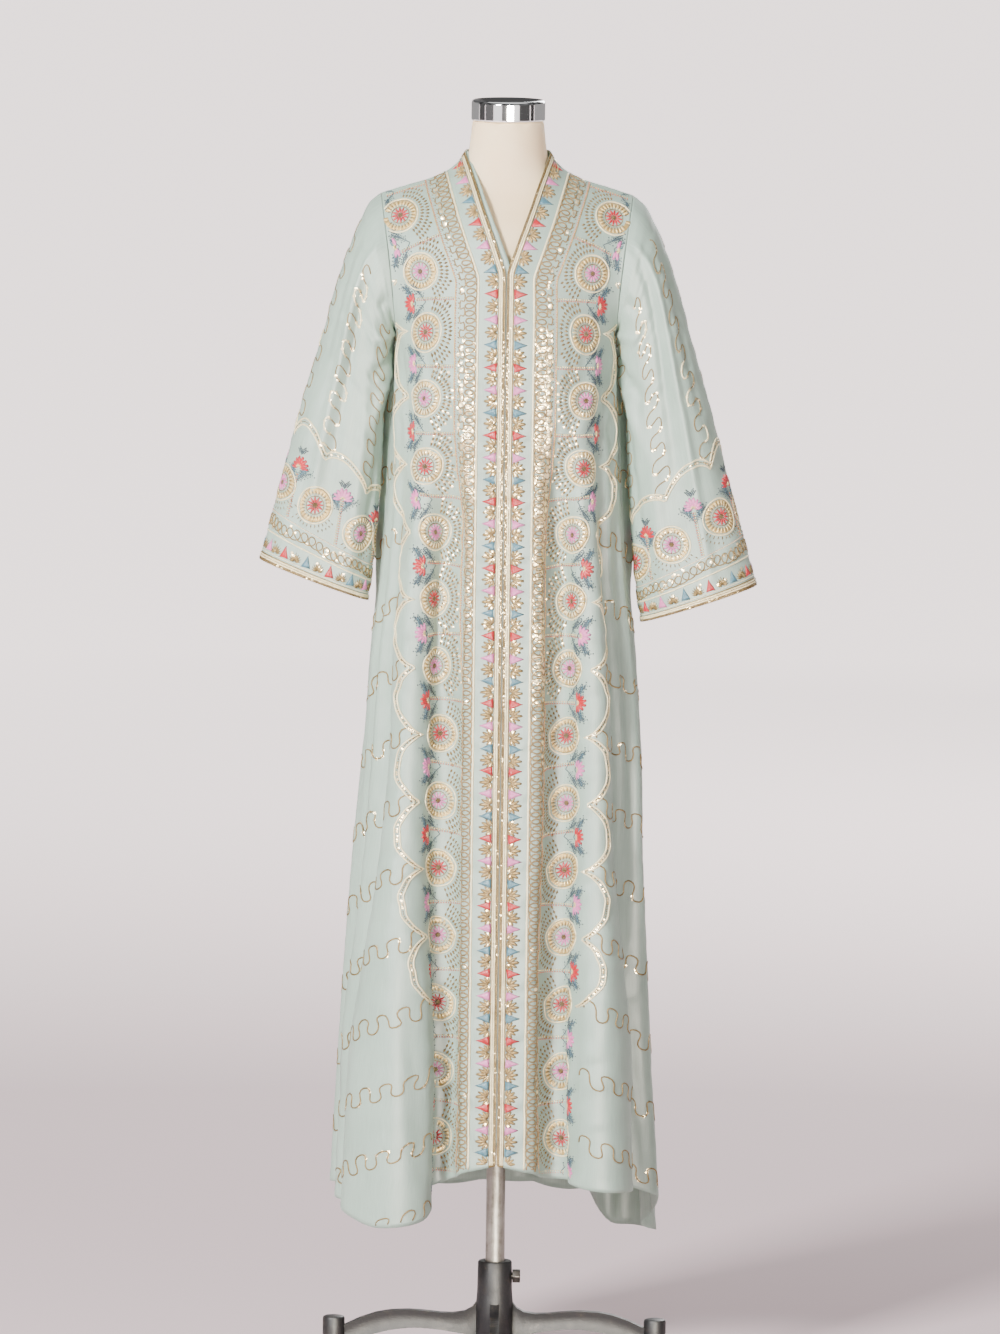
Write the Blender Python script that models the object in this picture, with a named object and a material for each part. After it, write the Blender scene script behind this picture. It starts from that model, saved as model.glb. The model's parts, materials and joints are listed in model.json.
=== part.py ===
"""An open-front abaya on a limbless dress form with a cast-iron stand.

The form stands on the floor at z = 0, with its pole on the Z axis. The front of the
garment faces -Y. Lengths below are in millimetres and are turned into metres when a
mesh is made. Every panel of cloth is a wall worked out from the levels of the body, its
long folds and the curves of its edges.
"""

import math

import bpy
import numpy as np

# Cloth
WALL = 1.6
SEAM = 0.3
OPENING_SLIT = 3.0
BRAID_WIDTH = 9.0
BRAID_THICK = 1.0

# Heights of the garment
ARMPIT_Z = 1408.0
V_POINT_Z = 1500.0
V_POINT_Y = -103.0
NECK_POINT_Z = 1654.0
NECK_BACK_Z = 1652.0
SHOULDER_Z = 1596.0

# Pole, collar and screw
POLE_R = 12.9
POLE_BOTTOM_Z = 66.0
POLE_TOP_Z = 962.0
BORE_R = 12.98
COLLAR_R = 23.0
COLLAR_FOOT_R = 25.0
COLLAR_TOP_Z = 148.0
COLLAR_BOTTOM_Z = 40.0
SCREW_Z = 127.0
SCREW_R = 5.0
SCREW_PLAY = 0.08
SCREW_HEAD_R = 9.8
SCREW_HEAD_LENGTH = 10.5
LEG_REACH = 217.5
POST_R = 15.0
POST_TOP_Z = 70.0

# Neck cap
CAP_R = 49.5
CAP_BOTTOM_Z = 1695.0
CAP_TOP_Z = 1723.0

SIDES = {"left": -1.0, "right": 1.0}


def table(columns, rows):
    """The rows as one array for each named column."""
    return dict(zip(columns.split(), np.array(rows, float).T))


# Levels of the cloth body below the armpits: half widths, depths before and behind the pole's
# axis, and how square the section is
BODY = table("height left right front back square", [
    (170, 221, 214, 166, 172, 2.10),
    (300, 216, 207, 163, 166, 2.15),
    (420, 210, 198, 158, 158, 2.20),
    (530, 204, 193, 153, 151, 2.25),
    (640, 197, 190, 148, 144, 2.30),
    (860, 181, 186, 138, 130, 2.35),
    (990, 173, 175, 130, 120, 2.40),
    (1060, 166, 167, 126, 114, 2.40),
    (1180, 157, 158, 124, 104, 2.35),
    (1290, 152, 152, 127, 101, 2.30),
    (1350, 150, 150, 126, 101, 2.25),
    (1408, 149, 149, 118, 101, 2.20),
    (1440, 149, 149, 112, 101, 2.20),
])

# Long folds: place round the half body (0 middle front, 1 middle back) above and at the hem,
# half width there, depth (outwards), spread of the flanks, heights where it starts and where it
# is full, and how far it lowers the hem
FOLD_COLUMNS = "place_top place_hem width depth spread start full drop"
FOLDS = {
    "left": table(FOLD_COLUMNS, [
        (0.195, 0.165, 0.080, -25, 0, 1330, 1060, 0),
        (0.285, 0.275, 0.070, 9, 3, 1240, 980, 0),
        (0.300, 0.272, 0.115, 38, 30, 900, 400, 8),
        (0.330, 0.320, 0.070, 4, 0, 700, 350, 4),
        (0.420, 0.415, 0.055, -17, 0, 980, 520, -4),
        (0.480, 0.475, 0.040, 7, 3, 1100, 700, 4),
        (0.575, 0.575, 0.060, -15, 0, 900, 450, 0),
        (0.660, 0.650, 0.075, 22, 12, 950, 420, 14),
        (0.780, 0.780, 0.070, -18, 0, 1150, 600, 0),
        (0.900, 0.895, 0.080, 17, 8, 1150, 560, 10),
    ]),
    "right": table(FOLD_COLUMNS, [
        (0.200, 0.168, 0.080, -23, 0, 1330, 1060, 0),
        (0.285, 0.270, 0.060, 8, 2, 1240, 980, 0),
        (0.275, 0.255, 0.080, 27, 13, 820, 400, 5),
        (0.360, 0.355, 0.060, -12, 0, 980, 480, 0),
        (0.430, 0.430, 0.070, 11, 3, 900, 420, 6),
        (0.550, 0.550, 0.045, -12, 0, 1000, 520, 0),
        (0.640, 0.635, 0.070, 20, 12, 900, 420, 0),
        (0.730, 0.730, 0.065, -18, 0, 1100, 560, 0),
        (0.850, 0.850, 0.070, 19, 10, 1150, 560, 12),
        (0.955, 0.955, 0.050, -10, 0, 1150, 700, 0),
    ]),
}

# The hem without its folds, by place round the half body
HEM = table("place left right", [
    (0.00, 302, 302),
    (0.09, 288, 290),
    (0.18, 276, 279),
    (0.30, 246, 268),
    (0.37, 226, 262),
    (0.43, 244, 250),
    (0.48, 262, 226),
    (0.60, 254, 184),
    (0.68, 247, 182),
    (0.80, 238, 232),
    (1.00, 232, 232),
])

# Edges of the upper panels, for the right side; the left is its mirror image
SHOULDER_SEAM = table("x y z", [
    (56.5, -3, NECK_POINT_Z),
    (66, -2, 1640),
    (76, -1, 1630.5),
    (100, 0, 1618),
    (131, 1, 1608),
    (169, 2, SHOULDER_Z),
])
NECK_EDGE = table("x y z", [
    (0, V_POINT_Y, V_POINT_Z),
    (14, -92, 1540),
    (28, -75, 1578),
    (40, -53, 1612),
    (50, -27, 1638),
    (56.5, -3, NECK_POINT_Z),
])
FRONT_ARMHOLE = table("x y z", [
    (149, 0, ARMPIT_Z),
    (148.5, -22, 1415),
    (150, -42, 1437),
    (153, -54, 1472),
    (157, -55, 1510),
    (162, -44, 1548),
    (167, -22, 1582),
    (169, 2, SHOULDER_Z),
])
BACK_ARMHOLE = table("x y z", [
    (149, 0, ARMPIT_Z),
    (148.5, 22, 1415),
    (150, 40, 1437),
    (153, 51, 1472),
    (157, 53, 1510),
    (162, 43, 1548),
    (167, 23, 1582),
    (169, 2, SHOULDER_Z),
])
BACK_MIDDLE = table("x y z", [
    (0, 101, ARMPIT_Z),
    (0, 104, 1480),
    (0, 99, 1550),
    (0, 80, 1610),
    (0, 60, NECK_BACK_Z),
])
BACK_NECK = table("x y z", [
    (0, 60, NECK_BACK_Z),
    (24, 55, 1652.5),
    (44, 37, 1653.5),
    (55, 14, 1654),
    (56.5, -3, NECK_POINT_Z),
])

# Sleeve sections from the shoulder to the cuff: share of its length, outer edge, inner edge,
# half depth, and how far its middle lies behind the pole's axis
SLEEVE_COLUMNS = "share outer_x outer_z inner_x inner_z depth middle"
SLEEVES = {
    "left": table(SLEEVE_COLUMNS, [
        (0.00, 169, 1596, 149, 1408, 54, 1),
        (0.04, 180, 1588, 153, 1411, 56, 1),
        (0.10, 193, 1568, 157, 1403, 57, 0),
        (0.20, 209, 1530, 159, 1381, 56, -2),
        (0.35, 228, 1474, 161, 1334, 52, -5),
        (0.50, 247, 1403, 163, 1280, 48, -8),
        (0.65, 272, 1318, 166, 1212, 45, -10),
        (0.80, 296, 1223, 171, 1140, 42, -11),
        (0.92, 315, 1148, 177, 1079, 39, -12),
        (1.00, 327, 1102, 182, 1048, 38, -12),
    ]),
    "right": table(SLEEVE_COLUMNS, [
        (0.00, 169, 1596, 149, 1408, 54, 1),
        (0.04, 181, 1587, 153, 1411, 56, 1),
        (0.10, 195, 1566, 157, 1403, 57, 0),
        (0.20, 212, 1528, 159, 1379, 56, -2),
        (0.35, 232, 1468, 162, 1330, 52, -5),
        (0.50, 253, 1392, 164, 1272, 49, -8),
        (0.65, 279, 1302, 168, 1200, 47, -10),
        (0.80, 305, 1203, 174, 1122, 44, -11),
        (0.92, 327, 1124, 181, 1056, 42, -12),
        (1.00, 341, 1074, 187, 1023, 41, -12),
    ]),
}

# Long folds of the sleeves: place round the tube (0 outer edge, 0.25 front, 0.5 inner edge),
# half width, depth, shares of the length where it starts, is full, and ends
SLEEVE_FOLDS = table("place width depth start full end", [
    (0.13, 0.070, 4.0, 0.02, 0.30, 1.30),
    (0.27, 0.080, -5.0, 0.05, 0.35, 1.20),
    (0.40, 0.060, 4.5, 0.08, 0.30, 0.90),
    (0.64, 0.070, -4.0, 0.10, 0.40, 1.20),
    (0.78, 0.080, 4.5, 0.05, 0.35, 1.30),
    (0.90, 0.060, -3.5, 0.10, 0.40, 1.10),
])

# Dense sheets that the meshes are read from
SAMPLES = 241
LOWER_LEVELS = 150
YOKE_LEVELS = 60
SHOULDER_ROUND = 2.6
FOLD_ROUND = 1.3

# Rows and columns of the meshes
MEAN_HEM_Z = 262.0
HEM_BLEND = 0.3
OPENING_COLUMNS = (OPENING_SLIT / 2, OPENING_SLIT / 2 + BRAID_WIDTH, 36.0, 62.0)
FRONT_COLUMNS = 15
BACK_COLUMNS = 12
NECK_COLUMNS = 4
NECK_SHARE = 0.405
BODY_ROWS = 20
YOKE_ROW_SHARES = (0, 0.12, 0.24, 0.36, 0.48, 0.60, 0.72, 0.83, 0.92, 0.968, 0.994, 1)
YOKE_ROWS = len(YOKE_ROW_SHARES) - 1
BRAID_ROWS = 3
SLEEVE_SHARES = (0, 0.04, 0.10, 0.17, 0.25, 0.34, 0.43, 0.52, 0.61, 0.70, 0.79, 0.88, 0.982, 1)
ARMHOLE_FADE = 0.22
FOLD_LOWEST_Z = 250.0
CHEST_POINT = (0, V_POINT_Y - 7, 1450)
SHOULDER_STEP_EASE = 1.4
# The underlap lies this far behind the front's back face. It starts under the left front at the
# first of these distances from its edge, and ends under the right front at the last of the others.
UNDERLAP_GAP = 0.5
UNDERLAP_HIDDEN = (12.0, 6.0, 0.0)
UNDERLAP_REACHES = (5.0, 10.0)
UNDERLAP_ROWS_SHORT = 3
# How much of it shows in the V: at the point, and at the neck
UNDERLAP_SHOWS_BELOW = 7.5
UNDERLAP_SHOWS_ABOVE = 2.0
ROUND_SIDES = 24
TURNING_SIDES = 36
POST_SIDES = 16
CAP_SIDES = 32

# The dress form, from the neck down
FORM = table("height half_width front back square", [
    (1694.7, 48.5, 48, 48, 2.0),
    (1672, 50.5, 50, 49, 2.0),
    (1656, 52.5, 52, 50, 2.0),
    (1642, 55, 50, 51, 2.0),
    (1629, 60, 48, 53, 1.95),
    (1619, 74, 47, 55, 1.9),
    (1610, 95, 47, 56, 1.85),
    (1601, 118, 48.5, 56, 1.85),
    (1590, 136, 53, 57, 1.95),
    (1575, 143.5, 61.5, 62, 2.1),
    (1550, 146, 78, 75, 2.2),
    (1510, 144, 90, 87, 2.2),
    (1460, 141, 101, 92, 2.2),
    (1410, 139, 110, 92, 2.2),
    (1360, 138, 116, 88, 2.2),
    (1310, 134, 112, 82, 2.2),
    (1240, 121, 96, 76, 2.2),
    (1190, 119, 93, 80, 2.2),
    (1120, 130, 97, 92, 2.2),
    (1050, 141, 100, 100, 2.2),
    (990, 145, 100, 101, 2.2),
    (940, 142, 96, 98, 2.2),
    (912, 134, 88, 91, 2.2),
    (902, 122, 78, 81, 2.2),
])
FORM_SIDES = 28

# Upper edge of a leg, its lower edge, and half the width of its rim, by distance from the axis
LEG = table("reach top bottom rim", [
    (16, 100, 42, 6.5),
    (24, 92, 43, 6.5),
    (30, 84, 45, 6.5),
    (40, 78.5, 47, 6.5),
    (56, 76, 50, 6.5),
    (86, 78, 54, 6.5),
    (116, 80, 55, 6.5),
    (140, 79, 52, 6.5),
    (160, 75.5, 47, 6.5),
    (182, 68, 40, 6.3),
    (201, 59, 31, 6.0),
    (213, 53, 26, 6.0),
])
LEG_WEB = 3.5
# The rim on a leg: how far below its top it starts, is full, and turns over, and its rounding
RIM_START = 9
RIM_FULL = 6.5
RIM_ROUND = 2.5
LEGS = 4

# Radius and height of the turned pieces, going up
CAP_PROFILE = (
    (CAP_R - 1.5, CAP_BOTTOM_Z),
    (CAP_R, CAP_BOTTOM_Z + 1.5),
    (CAP_R, CAP_TOP_Z - 4.0),
    (CAP_R - 1.2, CAP_TOP_Z - 1.2),
    (CAP_R - 4.0, CAP_TOP_Z),
)
POLE_PROFILE = (
    (POLE_R - 1, POLE_BOTTOM_Z),
    (POLE_R, POLE_BOTTOM_Z + 1),
    (POLE_R, POLE_TOP_Z - 1),
    (POLE_R - 1, POLE_TOP_Z),
)
COLLAR_PROFILE = (
    (BORE_R, COLLAR_BOTTOM_Z),
    (COLLAR_FOOT_R - 1, COLLAR_BOTTOM_Z),
    (COLLAR_FOOT_R, COLLAR_BOTTOM_Z + 3),
    (COLLAR_FOOT_R, 92),
    (COLLAR_R + 0.6, 108),
    (COLLAR_R, COLLAR_TOP_Z - 2),
    (COLLAR_R - 2, COLLAR_TOP_Z),
    (BORE_R, COLLAR_TOP_Z),
)
POST_PROFILE = (
    (POST_R + 1, 0),
    (POST_R + 2, 2),
    (POST_R + 2, 9),
    (POST_R, 14),
    (POST_R, 55),
    (POST_R - 1.2, 61),
    (POST_R - 4.5, 66.5),
    (POST_R - 9, POST_TOP_Z),
)
# The clamp screw along X: distance, radius, and whether that ring is a hexagon
SCREW_SEAT_X = COLLAR_R + 0.9
SCREW_END_X = SCREW_SEAT_X + SCREW_HEAD_LENGTH
SCREW_PROFILE = (
    (POLE_R + SEAM, SCREW_R - 1, False),
    (POLE_R + SEAM + 1, SCREW_R, False),
    (SCREW_SEAT_X, SCREW_R, False),
    (SCREW_SEAT_X, SCREW_HEAD_R, True),
    (SCREW_END_X - 1.8, SCREW_HEAD_R, True),
    (SCREW_END_X, SCREW_HEAD_R - 2.2, False),
)
# Where the two drills start and end: up into the form from below, and across the collar's wall
SOCKET_START_Z = FORM["height"][-1] - 10
SCREW_HOLE_X = (8.0, 40.0)

COLOURS = {
    "cloth": ((0.52, 0.64, 0.58), 0.75, 0.0),
    "braid": ((0.62, 0.50, 0.28), 0.45, 0.3),
    "form": ((0.86, 0.76, 0.62), 0.5, 0.0),
    "chrome": ((0.8, 0.8, 0.8), 0.08, 1.0),
    "steel": ((0.45, 0.44, 0.40), 0.35, 1.0),
    "iron": ((0.03, 0.03, 0.03), 0.6, 0.4),
}


def smooth(start, full, value):
    """0 at start, 1 at full, eased at both ends."""
    t = np.clip((value - start) / (full - start), 0.0, 1.0)
    return t * t * (3.0 - 2.0 * t)


def follow(columns, key, names, value):
    """A smooth curve through the rows of a table, read at one value of its key column."""
    keys = columns[key]
    value = np.clip(value, keys[0], keys[-1])
    low = np.clip(np.searchsorted(keys, value, side="right") - 1, 0, len(keys) - 2)
    span = keys[low + 1] - keys[low]
    t = (value - keys[low]) / span
    found = []
    for name in names:
        column = columns[name]
        slopes = np.gradient(column, keys)
        steps = np.diff(column) / np.diff(keys)
        flat = np.concatenate([[False], steps[:-1] * steps[1:] <= 0, [False]])
        slopes = np.where(flat, 0.0, slopes)
        found.append(
            column[low] * (1 + 2 * t) * (1 - t) ** 2
            + slopes[low] * span * t * (1 - t) ** 2
            + column[low + 1] * t * t * (3 - 2 * t)
            + slopes[low + 1] * span * t * t * (t - 1)
        )
    return found


def along(columns, shares):
    """Points at shares of the length of a curve given as x, y, z columns."""
    points = np.column_stack([columns[name] for name in "xyz"])
    knots = np.concatenate([[0], np.cumsum(np.linalg.norm(np.diff(points, axis=0), axis=1))])
    knots /= knots[-1]
    fine = np.linspace(0, 1, 20 * len(points))
    curve = {"share": knots, **columns}
    dense = np.column_stack(follow(curve, "share", "xyz", fine))
    return at_shares(dense, shares)


def at_shares(points, shares):
    """Points at shares of the length of a polyline. Columns after x, y, z are carried along."""
    steps = np.linalg.norm(np.diff(points[:, :3], axis=0), axis=1)
    lengths = np.concatenate([[0], np.cumsum(steps)])
    wanted = np.asarray(shares) * lengths[-1]
    return np.column_stack([np.interp(wanted, lengths, column) for column in points.T])


def hem_height(side, place):
    """Height of the hem at a place round the half body."""
    folds = FOLDS[side]
    (height,) = follow(HEM, "place", [side], place)
    for row in range(len(folds["drop"])):
        away = np.abs(place - folds["place_hem"][row]) / folds["width"][row]
        height = height - folds["drop"][row] * np.cos(np.minimum(away, 1) * math.pi / 2) ** 2
    return height


def half_section(side, height):
    """Middle front to middle back of the cloth body at one height, as points."""
    names = [side, "front", "back", "square"]
    width, front, back, square = follow(BODY, "height", names, height)
    turn = np.linspace(0, math.pi, 4 * SAMPLES)
    across = np.sin(turn) ** (2 / square)
    inward = np.abs(np.cos(turn)) ** (2 / square)
    depth = np.where(turn < math.pi / 2, -front * inward, back * inward)
    ring = np.column_stack([width * across, depth, np.full(len(turn), height)])
    place = np.linspace(0, 1, 2 * SAMPLES)
    ring = at_shares(ring, place)
    tangent = np.gradient(ring, axis=0)
    tangent /= np.linalg.norm(tangent, axis=1)[:, None]
    tangent[0] = tangent[-1] * -1
    outward = np.column_stack([-tangent[:, 1], tangent[:, 0], np.zeros(len(ring))]) * -1
    folds = FOLDS[side]
    moved = ring.copy()
    for row in range(len(folds["depth"])):
        grown = smooth(folds["start"][row], folds["full"][row], height)
        down = smooth(folds["start"][row], FOLD_LOWEST_Z, height)
        middle = folds["place_top"][row] * (1 - down) + folds["place_hem"][row] * down
        away = np.clip((place - middle) / folds["width"][row], -1, 1)
        ridge = np.maximum(np.cos(away * math.pi / 2), 0) ** FOLD_ROUND
        moved += outward * (grown * folds["depth"][row] * ridge)[:, None]
        spread = grown * grown * folds["spread"][row] * np.sin(away * math.pi)
        moved += tangent * spread[:, None]
    moved[0, 0] = moved[-1, 0] = 0.0
    return np.column_stack([moved, place])


def yoke(bottom, top, inner, outer, shares):
    """Rows of the panel between four edge curves, rounded over towards its top edge."""
    even = np.linspace(0, 1, SAMPLES)
    inner_pull = (1 - even ** 2)[:, None]
    outer_pull = (even ** 3)[:, None]
    made = []
    for share, on_inner, on_outer in zip(shares, inner, outer):
        rise = 1 - (1 - share ** SHOULDER_ROUND) ** (1 / SHOULDER_ROUND)
        weight = np.array([share, rise, share])
        plain = bottom * (1 - weight) + top * weight
        row = plain + inner_pull * (on_inner - plain[0]) + outer_pull * (on_outer - plain[-1])
        made.append(at_shares(row, even))
    return np.array(made)


def yoke_shares(steps):
    """Shares of the way from the armpit to the shoulder, closer together at the top."""
    turn = (1 - (1 - np.asarray(steps)) ** SHOULDER_STEP_EASE) * math.pi / 2
    return np.sin(turn) ** (2 / SHOULDER_ROUND)


class Panel:
    """Half a front or half a back as a dense sheet, read at a level and a distance across.

    Levels 0 to LOWER_LEVELS - 1 are level slices up to the armpit, and the YOKE_LEVELS above
    them rise from there to the shoulder and neck. Distances start at the body's middle."""

    def __init__(self, lower, upper, mirror, facing):
        places = np.broadcast_to(lower[-1, :, 3], upper.shape[:2])
        upper = np.concatenate([upper, places[:, :, None]], axis=2)
        self.grid = np.concatenate([lower, upper]) * np.array([mirror, 1, 1, 1])
        points = self.grid[:, :, :3]
        steps = np.linalg.norm(np.diff(points, axis=1), axis=2)
        start = np.zeros((len(points), 1))
        self.across = np.concatenate([start, np.cumsum(steps, axis=1)], axis=1)
        normal = np.cross(np.gradient(points, axis=1), np.gradient(points, axis=0))
        normal *= mirror * facing
        self.normal = normal / np.linalg.norm(normal, axis=2)[:, :, None]

    def _mix(self, level):
        low = int(np.clip(math.floor(level + 1e-9), 0, len(self.grid) - 2))
        share = min(max(level - low, 0.0), 1.0)
        return ((low, 1 - share), (low + 1, share))

    def width(self, level):
        """The whole distance across at a level."""
        return sum(share * self.across[row, -1] for row, share in self._mix(level))

    def read(self, level, distance):
        """The point, with its place as a fourth number, and the outward normal."""
        point, normal = np.zeros(4), np.zeros(3)
        for row, share in self._mix(level):
            lengths = self.across[row]
            spot = np.interp(distance, lengths, np.arange(len(lengths)))
            left = min(int(spot), len(lengths) - 2)
            for found, source in ((point, self.grid), (normal, self.normal)):
                found += share * (source[row, left] * (1 - spot + left))
                found += share * (source[row, left + 1] * (spot - left))
        return point, normal / np.linalg.norm(normal)


def half_panels(side):
    """The front and back half panels of one side."""
    levels = np.linspace(BODY["height"][0], ARMPIT_Z, LOWER_LEVELS)
    even = np.linspace(0, 1, SAMPLES)
    front, back = [], []
    for height in levels:
        section = half_section(side, height)
        seam = len(section) // 2
        front.append(at_shares(section[:seam + 1], even))
        back.append(at_shares(section[seam:][::-1], even))
    shares = yoke_shares(np.linspace(0, 1, YOKE_LEVELS + 1)[1:])
    seam = along(SHOULDER_SEAM, even)
    chest = np.vstack([front[-1][0, :3], CHEST_POINT, along(NECK_EDGE, even)])
    front_yoke = yoke(front[-1][:, :3], seam, at_shares(chest, shares),
                      along(FRONT_ARMHOLE, shares), shares)
    back_top = at_shares(np.vstack([along(BACK_NECK, even), seam[1:]]), even)
    back_yoke = yoke(back[-1][:, :3], back_top, along(BACK_MIDDLE, shares),
                     along(BACK_ARMHOLE, shares), shares)
    mirror = SIDES[side]
    fore = Panel(np.array(front), front_yoke, mirror, 1)
    rear = Panel(np.array(back), back_yoke, mirror, -1)
    share_normals(fore.normal[:LOWER_LEVELS, -1], rear.normal[:LOWER_LEVELS, -1])
    share_normals(fore.normal[-1], rear.normal[-1], NECK_SHARE)
    return fore, rear


def share_normals(fore, rear, start=0.0):
    """Gives two edges that are sewn together the same normals. The rear edge may start earlier."""
    along_fore = np.linspace(start, 1, len(fore)) if start else np.arange(len(fore))
    along_rear = np.linspace(0, 1, len(rear)) if start else np.arange(len(rear))
    matched = np.column_stack([np.interp(along_fore, along_rear, column) for column in rear.T])
    mean = fore + matched
    fore[:] = mean / np.linalg.norm(mean, axis=1)[:, None]
    for k in range(3):
        sewn = along_rear >= along_fore[0]
        rear[sewn, k] = np.interp(along_rear[sewn], along_fore, fore[:, k])


def level_at(height):
    """The level of the lower body at a height."""
    low = BODY["height"][0]
    return (height - low) / (ARMPIT_Z - low) * (LOWER_LEVELS - 1)


def yoke_level(row):
    """The level of one mesh row above the armpit."""
    steps = np.linspace(0, 1, YOKE_LEVELS + 1)
    step = np.interp(YOKE_ROW_SHARES[row], yoke_shares(steps), steps)
    return LOWER_LEVELS - 1 + YOKE_LEVELS * step


def row_level(panel, side, distance_share, row):
    """The level of one mesh row where it crosses a column. Row 0 is the hem."""
    if row > BODY_ROWS:
        return yoke_level(row - BODY_ROWS)
    share = row / BODY_ROWS
    plain = MEAN_HEM_Z + share * (ARMPIT_Z - MEAN_HEM_Z)
    if share >= HEM_BLEND:
        return level_at(plain)
    level = level_at(MEAN_HEM_Z)
    for _ in range(4):
        place = panel.read(level, distance_share * panel.width(level))[0][3]
        level = level_at(hem_height(side, place))
    return level_at(plain) + (level - level_at(MEAN_HEM_Z)) * (1 - share / HEM_BLEND) ** 2


def mesh_object(name, points, faces, material):
    """A mesh object from points in millimetres."""
    mesh = bpy.data.meshes.new(name)
    mesh.from_pydata([tuple(p) for p in np.asarray(points) / 1000.0], [], faces)
    mesh.update()
    mesh.shade_smooth()
    mesh.materials.append(material)
    obj = bpy.data.objects.new(name, mesh)
    bpy.context.scene.collection.objects.link(obj)
    return obj


def both_faces(corners, back):
    """The triangles of one four-cornered field outside, and the same ones inside."""
    a, b, c, d = corners
    outside = [(a, b, c), (a, c, d)]
    return outside + [tuple(back + k for k in reversed(face)) for face in outside]


def rim_faces(first, second, back, points):
    """The two triangles of one field of a rim, split from its lower outer corner, so that the
    rims of two pieces sewn together are split alike."""
    if points[first][2] < points[second][2]:
        return [(second, first, back + second), (first, back + first, back + second)]
    return [(second, first, back + first), (second, back + first, back + second)]


def wall(outer, inner):
    """Points and faces of a closed wall between two grids of points of the same shape. The outer
    grid's rows run up and its columns run to the right when it is seen from outside."""
    rows, columns = outer.shape[:2]
    points = np.concatenate([outer.reshape(-1, 3), inner.reshape(-1, 3)])
    back = rows * columns

    def at(row, column):
        return row * columns + column

    faces = []
    for row in range(rows - 1):
        for column in range(columns - 1):
            corners = (at(row, column), at(row, column + 1), at(row + 1, column + 1), at(row + 1, column))
            faces += both_faces(corners, back)
    rim = [at(0, c) for c in range(columns)]
    rim += [at(r, columns - 1) for r in range(1, rows)]
    rim += [at(rows - 1, c) for c in range(columns - 2, -1, -1)]
    rim += [at(r, 0) for r in range(rows - 2, 0, -1)]
    for first, second in zip(rim, rim[1:] + rim[:1]):
        faces += rim_faces(first, second, back, points)
    return points, faces


def tube(outer, inner):
    """Points and faces of a closed tube wall, its rings running along it. Seen from outside, with
    the first ring below, the ring's points run to the right."""
    rings, count = outer.shape[:2]
    points = np.concatenate([outer.reshape(-1, 3), inner.reshape(-1, 3)])
    back = rings * count
    faces = []
    for ring in range(rings - 1):
        for k in range(count):
            n = (k + 1) % count
            corners = (ring * count + k, ring * count + n, (ring + 1) * count + n, (ring + 1) * count + k)
            faces += both_faces(corners, back)
    last = (rings - 1) * count
    for k in range(count):
        n = (k + 1) % count
        faces += rim_faces(k, n, back, points)
        faces += rim_faces(last + n, last + k, back, points)
    return points, faces


def front_distances(width):
    """Distances of a front's mesh columns from the middle, for one width."""
    last = OPENING_COLUMNS[-1]
    spread = last + (width - SEAM / 2 - last) * np.linspace(0, 1, FRONT_COLUMNS + 1)[1:]
    return np.concatenate([OPENING_COLUMNS, spread])


def back_distances(width):
    """Distances of half a back's mesh columns from its middle. One runs to the neck point."""
    neck = np.linspace(0, NECK_SHARE, NECK_COLUMNS + 1)[:-1]
    return (width - SEAM / 2) * np.concatenate([neck, np.linspace(NECK_SHARE, 1, BACK_COLUMNS)])


def grid_of(panel, side, distances):
    """Outer points and normals of a half panel's mesh, a row for each height."""
    points, normals = [], []
    plain = level_at(MEAN_HEM_Z)
    shares = distances(panel.width(plain)) / panel.width(plain)
    for row in range(BODY_ROWS + YOKE_ROWS + 1):
        line, line_normals = [], []
        for column, share in enumerate(shares):
            level = row_level(panel, side, share, row)
            point, normal = panel.read(level, distances(panel.width(level))[column])
            line.append(point[:3])
            line_normals.append(normal)
        points.append(line)
        normals.append(line_normals)
    points, normals = np.array(points), np.array(normals)
    below = np.array([panel.read(level - 1, distance)[0][:3]
                      for distance in distances(panel.width(level - 1))])
    down = below - points[-1]
    points[-1] += SEAM / 2 * down / np.linalg.norm(down, axis=1)[:, None]
    return points, normals


def armhole_loop(side, front, back):
    """The sleeve's first ring: its points a seam's gap off the panels' armhole edges, the body's
    normals there, and each point's place round the sleeve."""
    points, normals, places = [], [], []
    steps = [(front, row) for row in range(YOKE_ROWS, 0, -1)]
    steps += [(back, row) for row in range(YOKE_ROWS)]
    for panel, row in steps:
        level = yoke_level(row)
        point, normal = panel.read(level, panel.width(level))
        share = YOKE_ROW_SHARES[row]
        points.append(point[:3])
        normals.append(normal)
        places.append(0.5 * (1 - share) if panel is front else 0.5 * (1 + share))
    points, normals = np.array(points), np.array(normals)
    edge = np.roll(points, -1, axis=0) - np.roll(points, 1, axis=0)
    away = np.cross(normals, edge) * SIDES[side]
    away /= np.linalg.norm(away, axis=1)[:, None]
    return points + SEAM * away, normals, np.array(places)


def sleeve_rings(side, loop, places, shares):
    """Rings of the sleeve's outer face, from the armhole to the cuff."""
    names = ["outer_x", "outer_z", "inner_x", "inner_z", "depth", "middle"]
    turn = places * 2 * math.pi
    rings = []
    for share in shares:
        ring = sleeve_ellipse(side, turn, follow(SLEEVES[side], "share", names, share), share, places)
        start = sleeve_ellipse(side, turn, follow(SLEEVES[side], "share", names, 0), 0, places)
        ring += (loop - start) * max(0.0, 1 - (share / ARMHOLE_FADE) ** 2) ** 2
        rings.append(ring)
    return np.array(rings)


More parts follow.
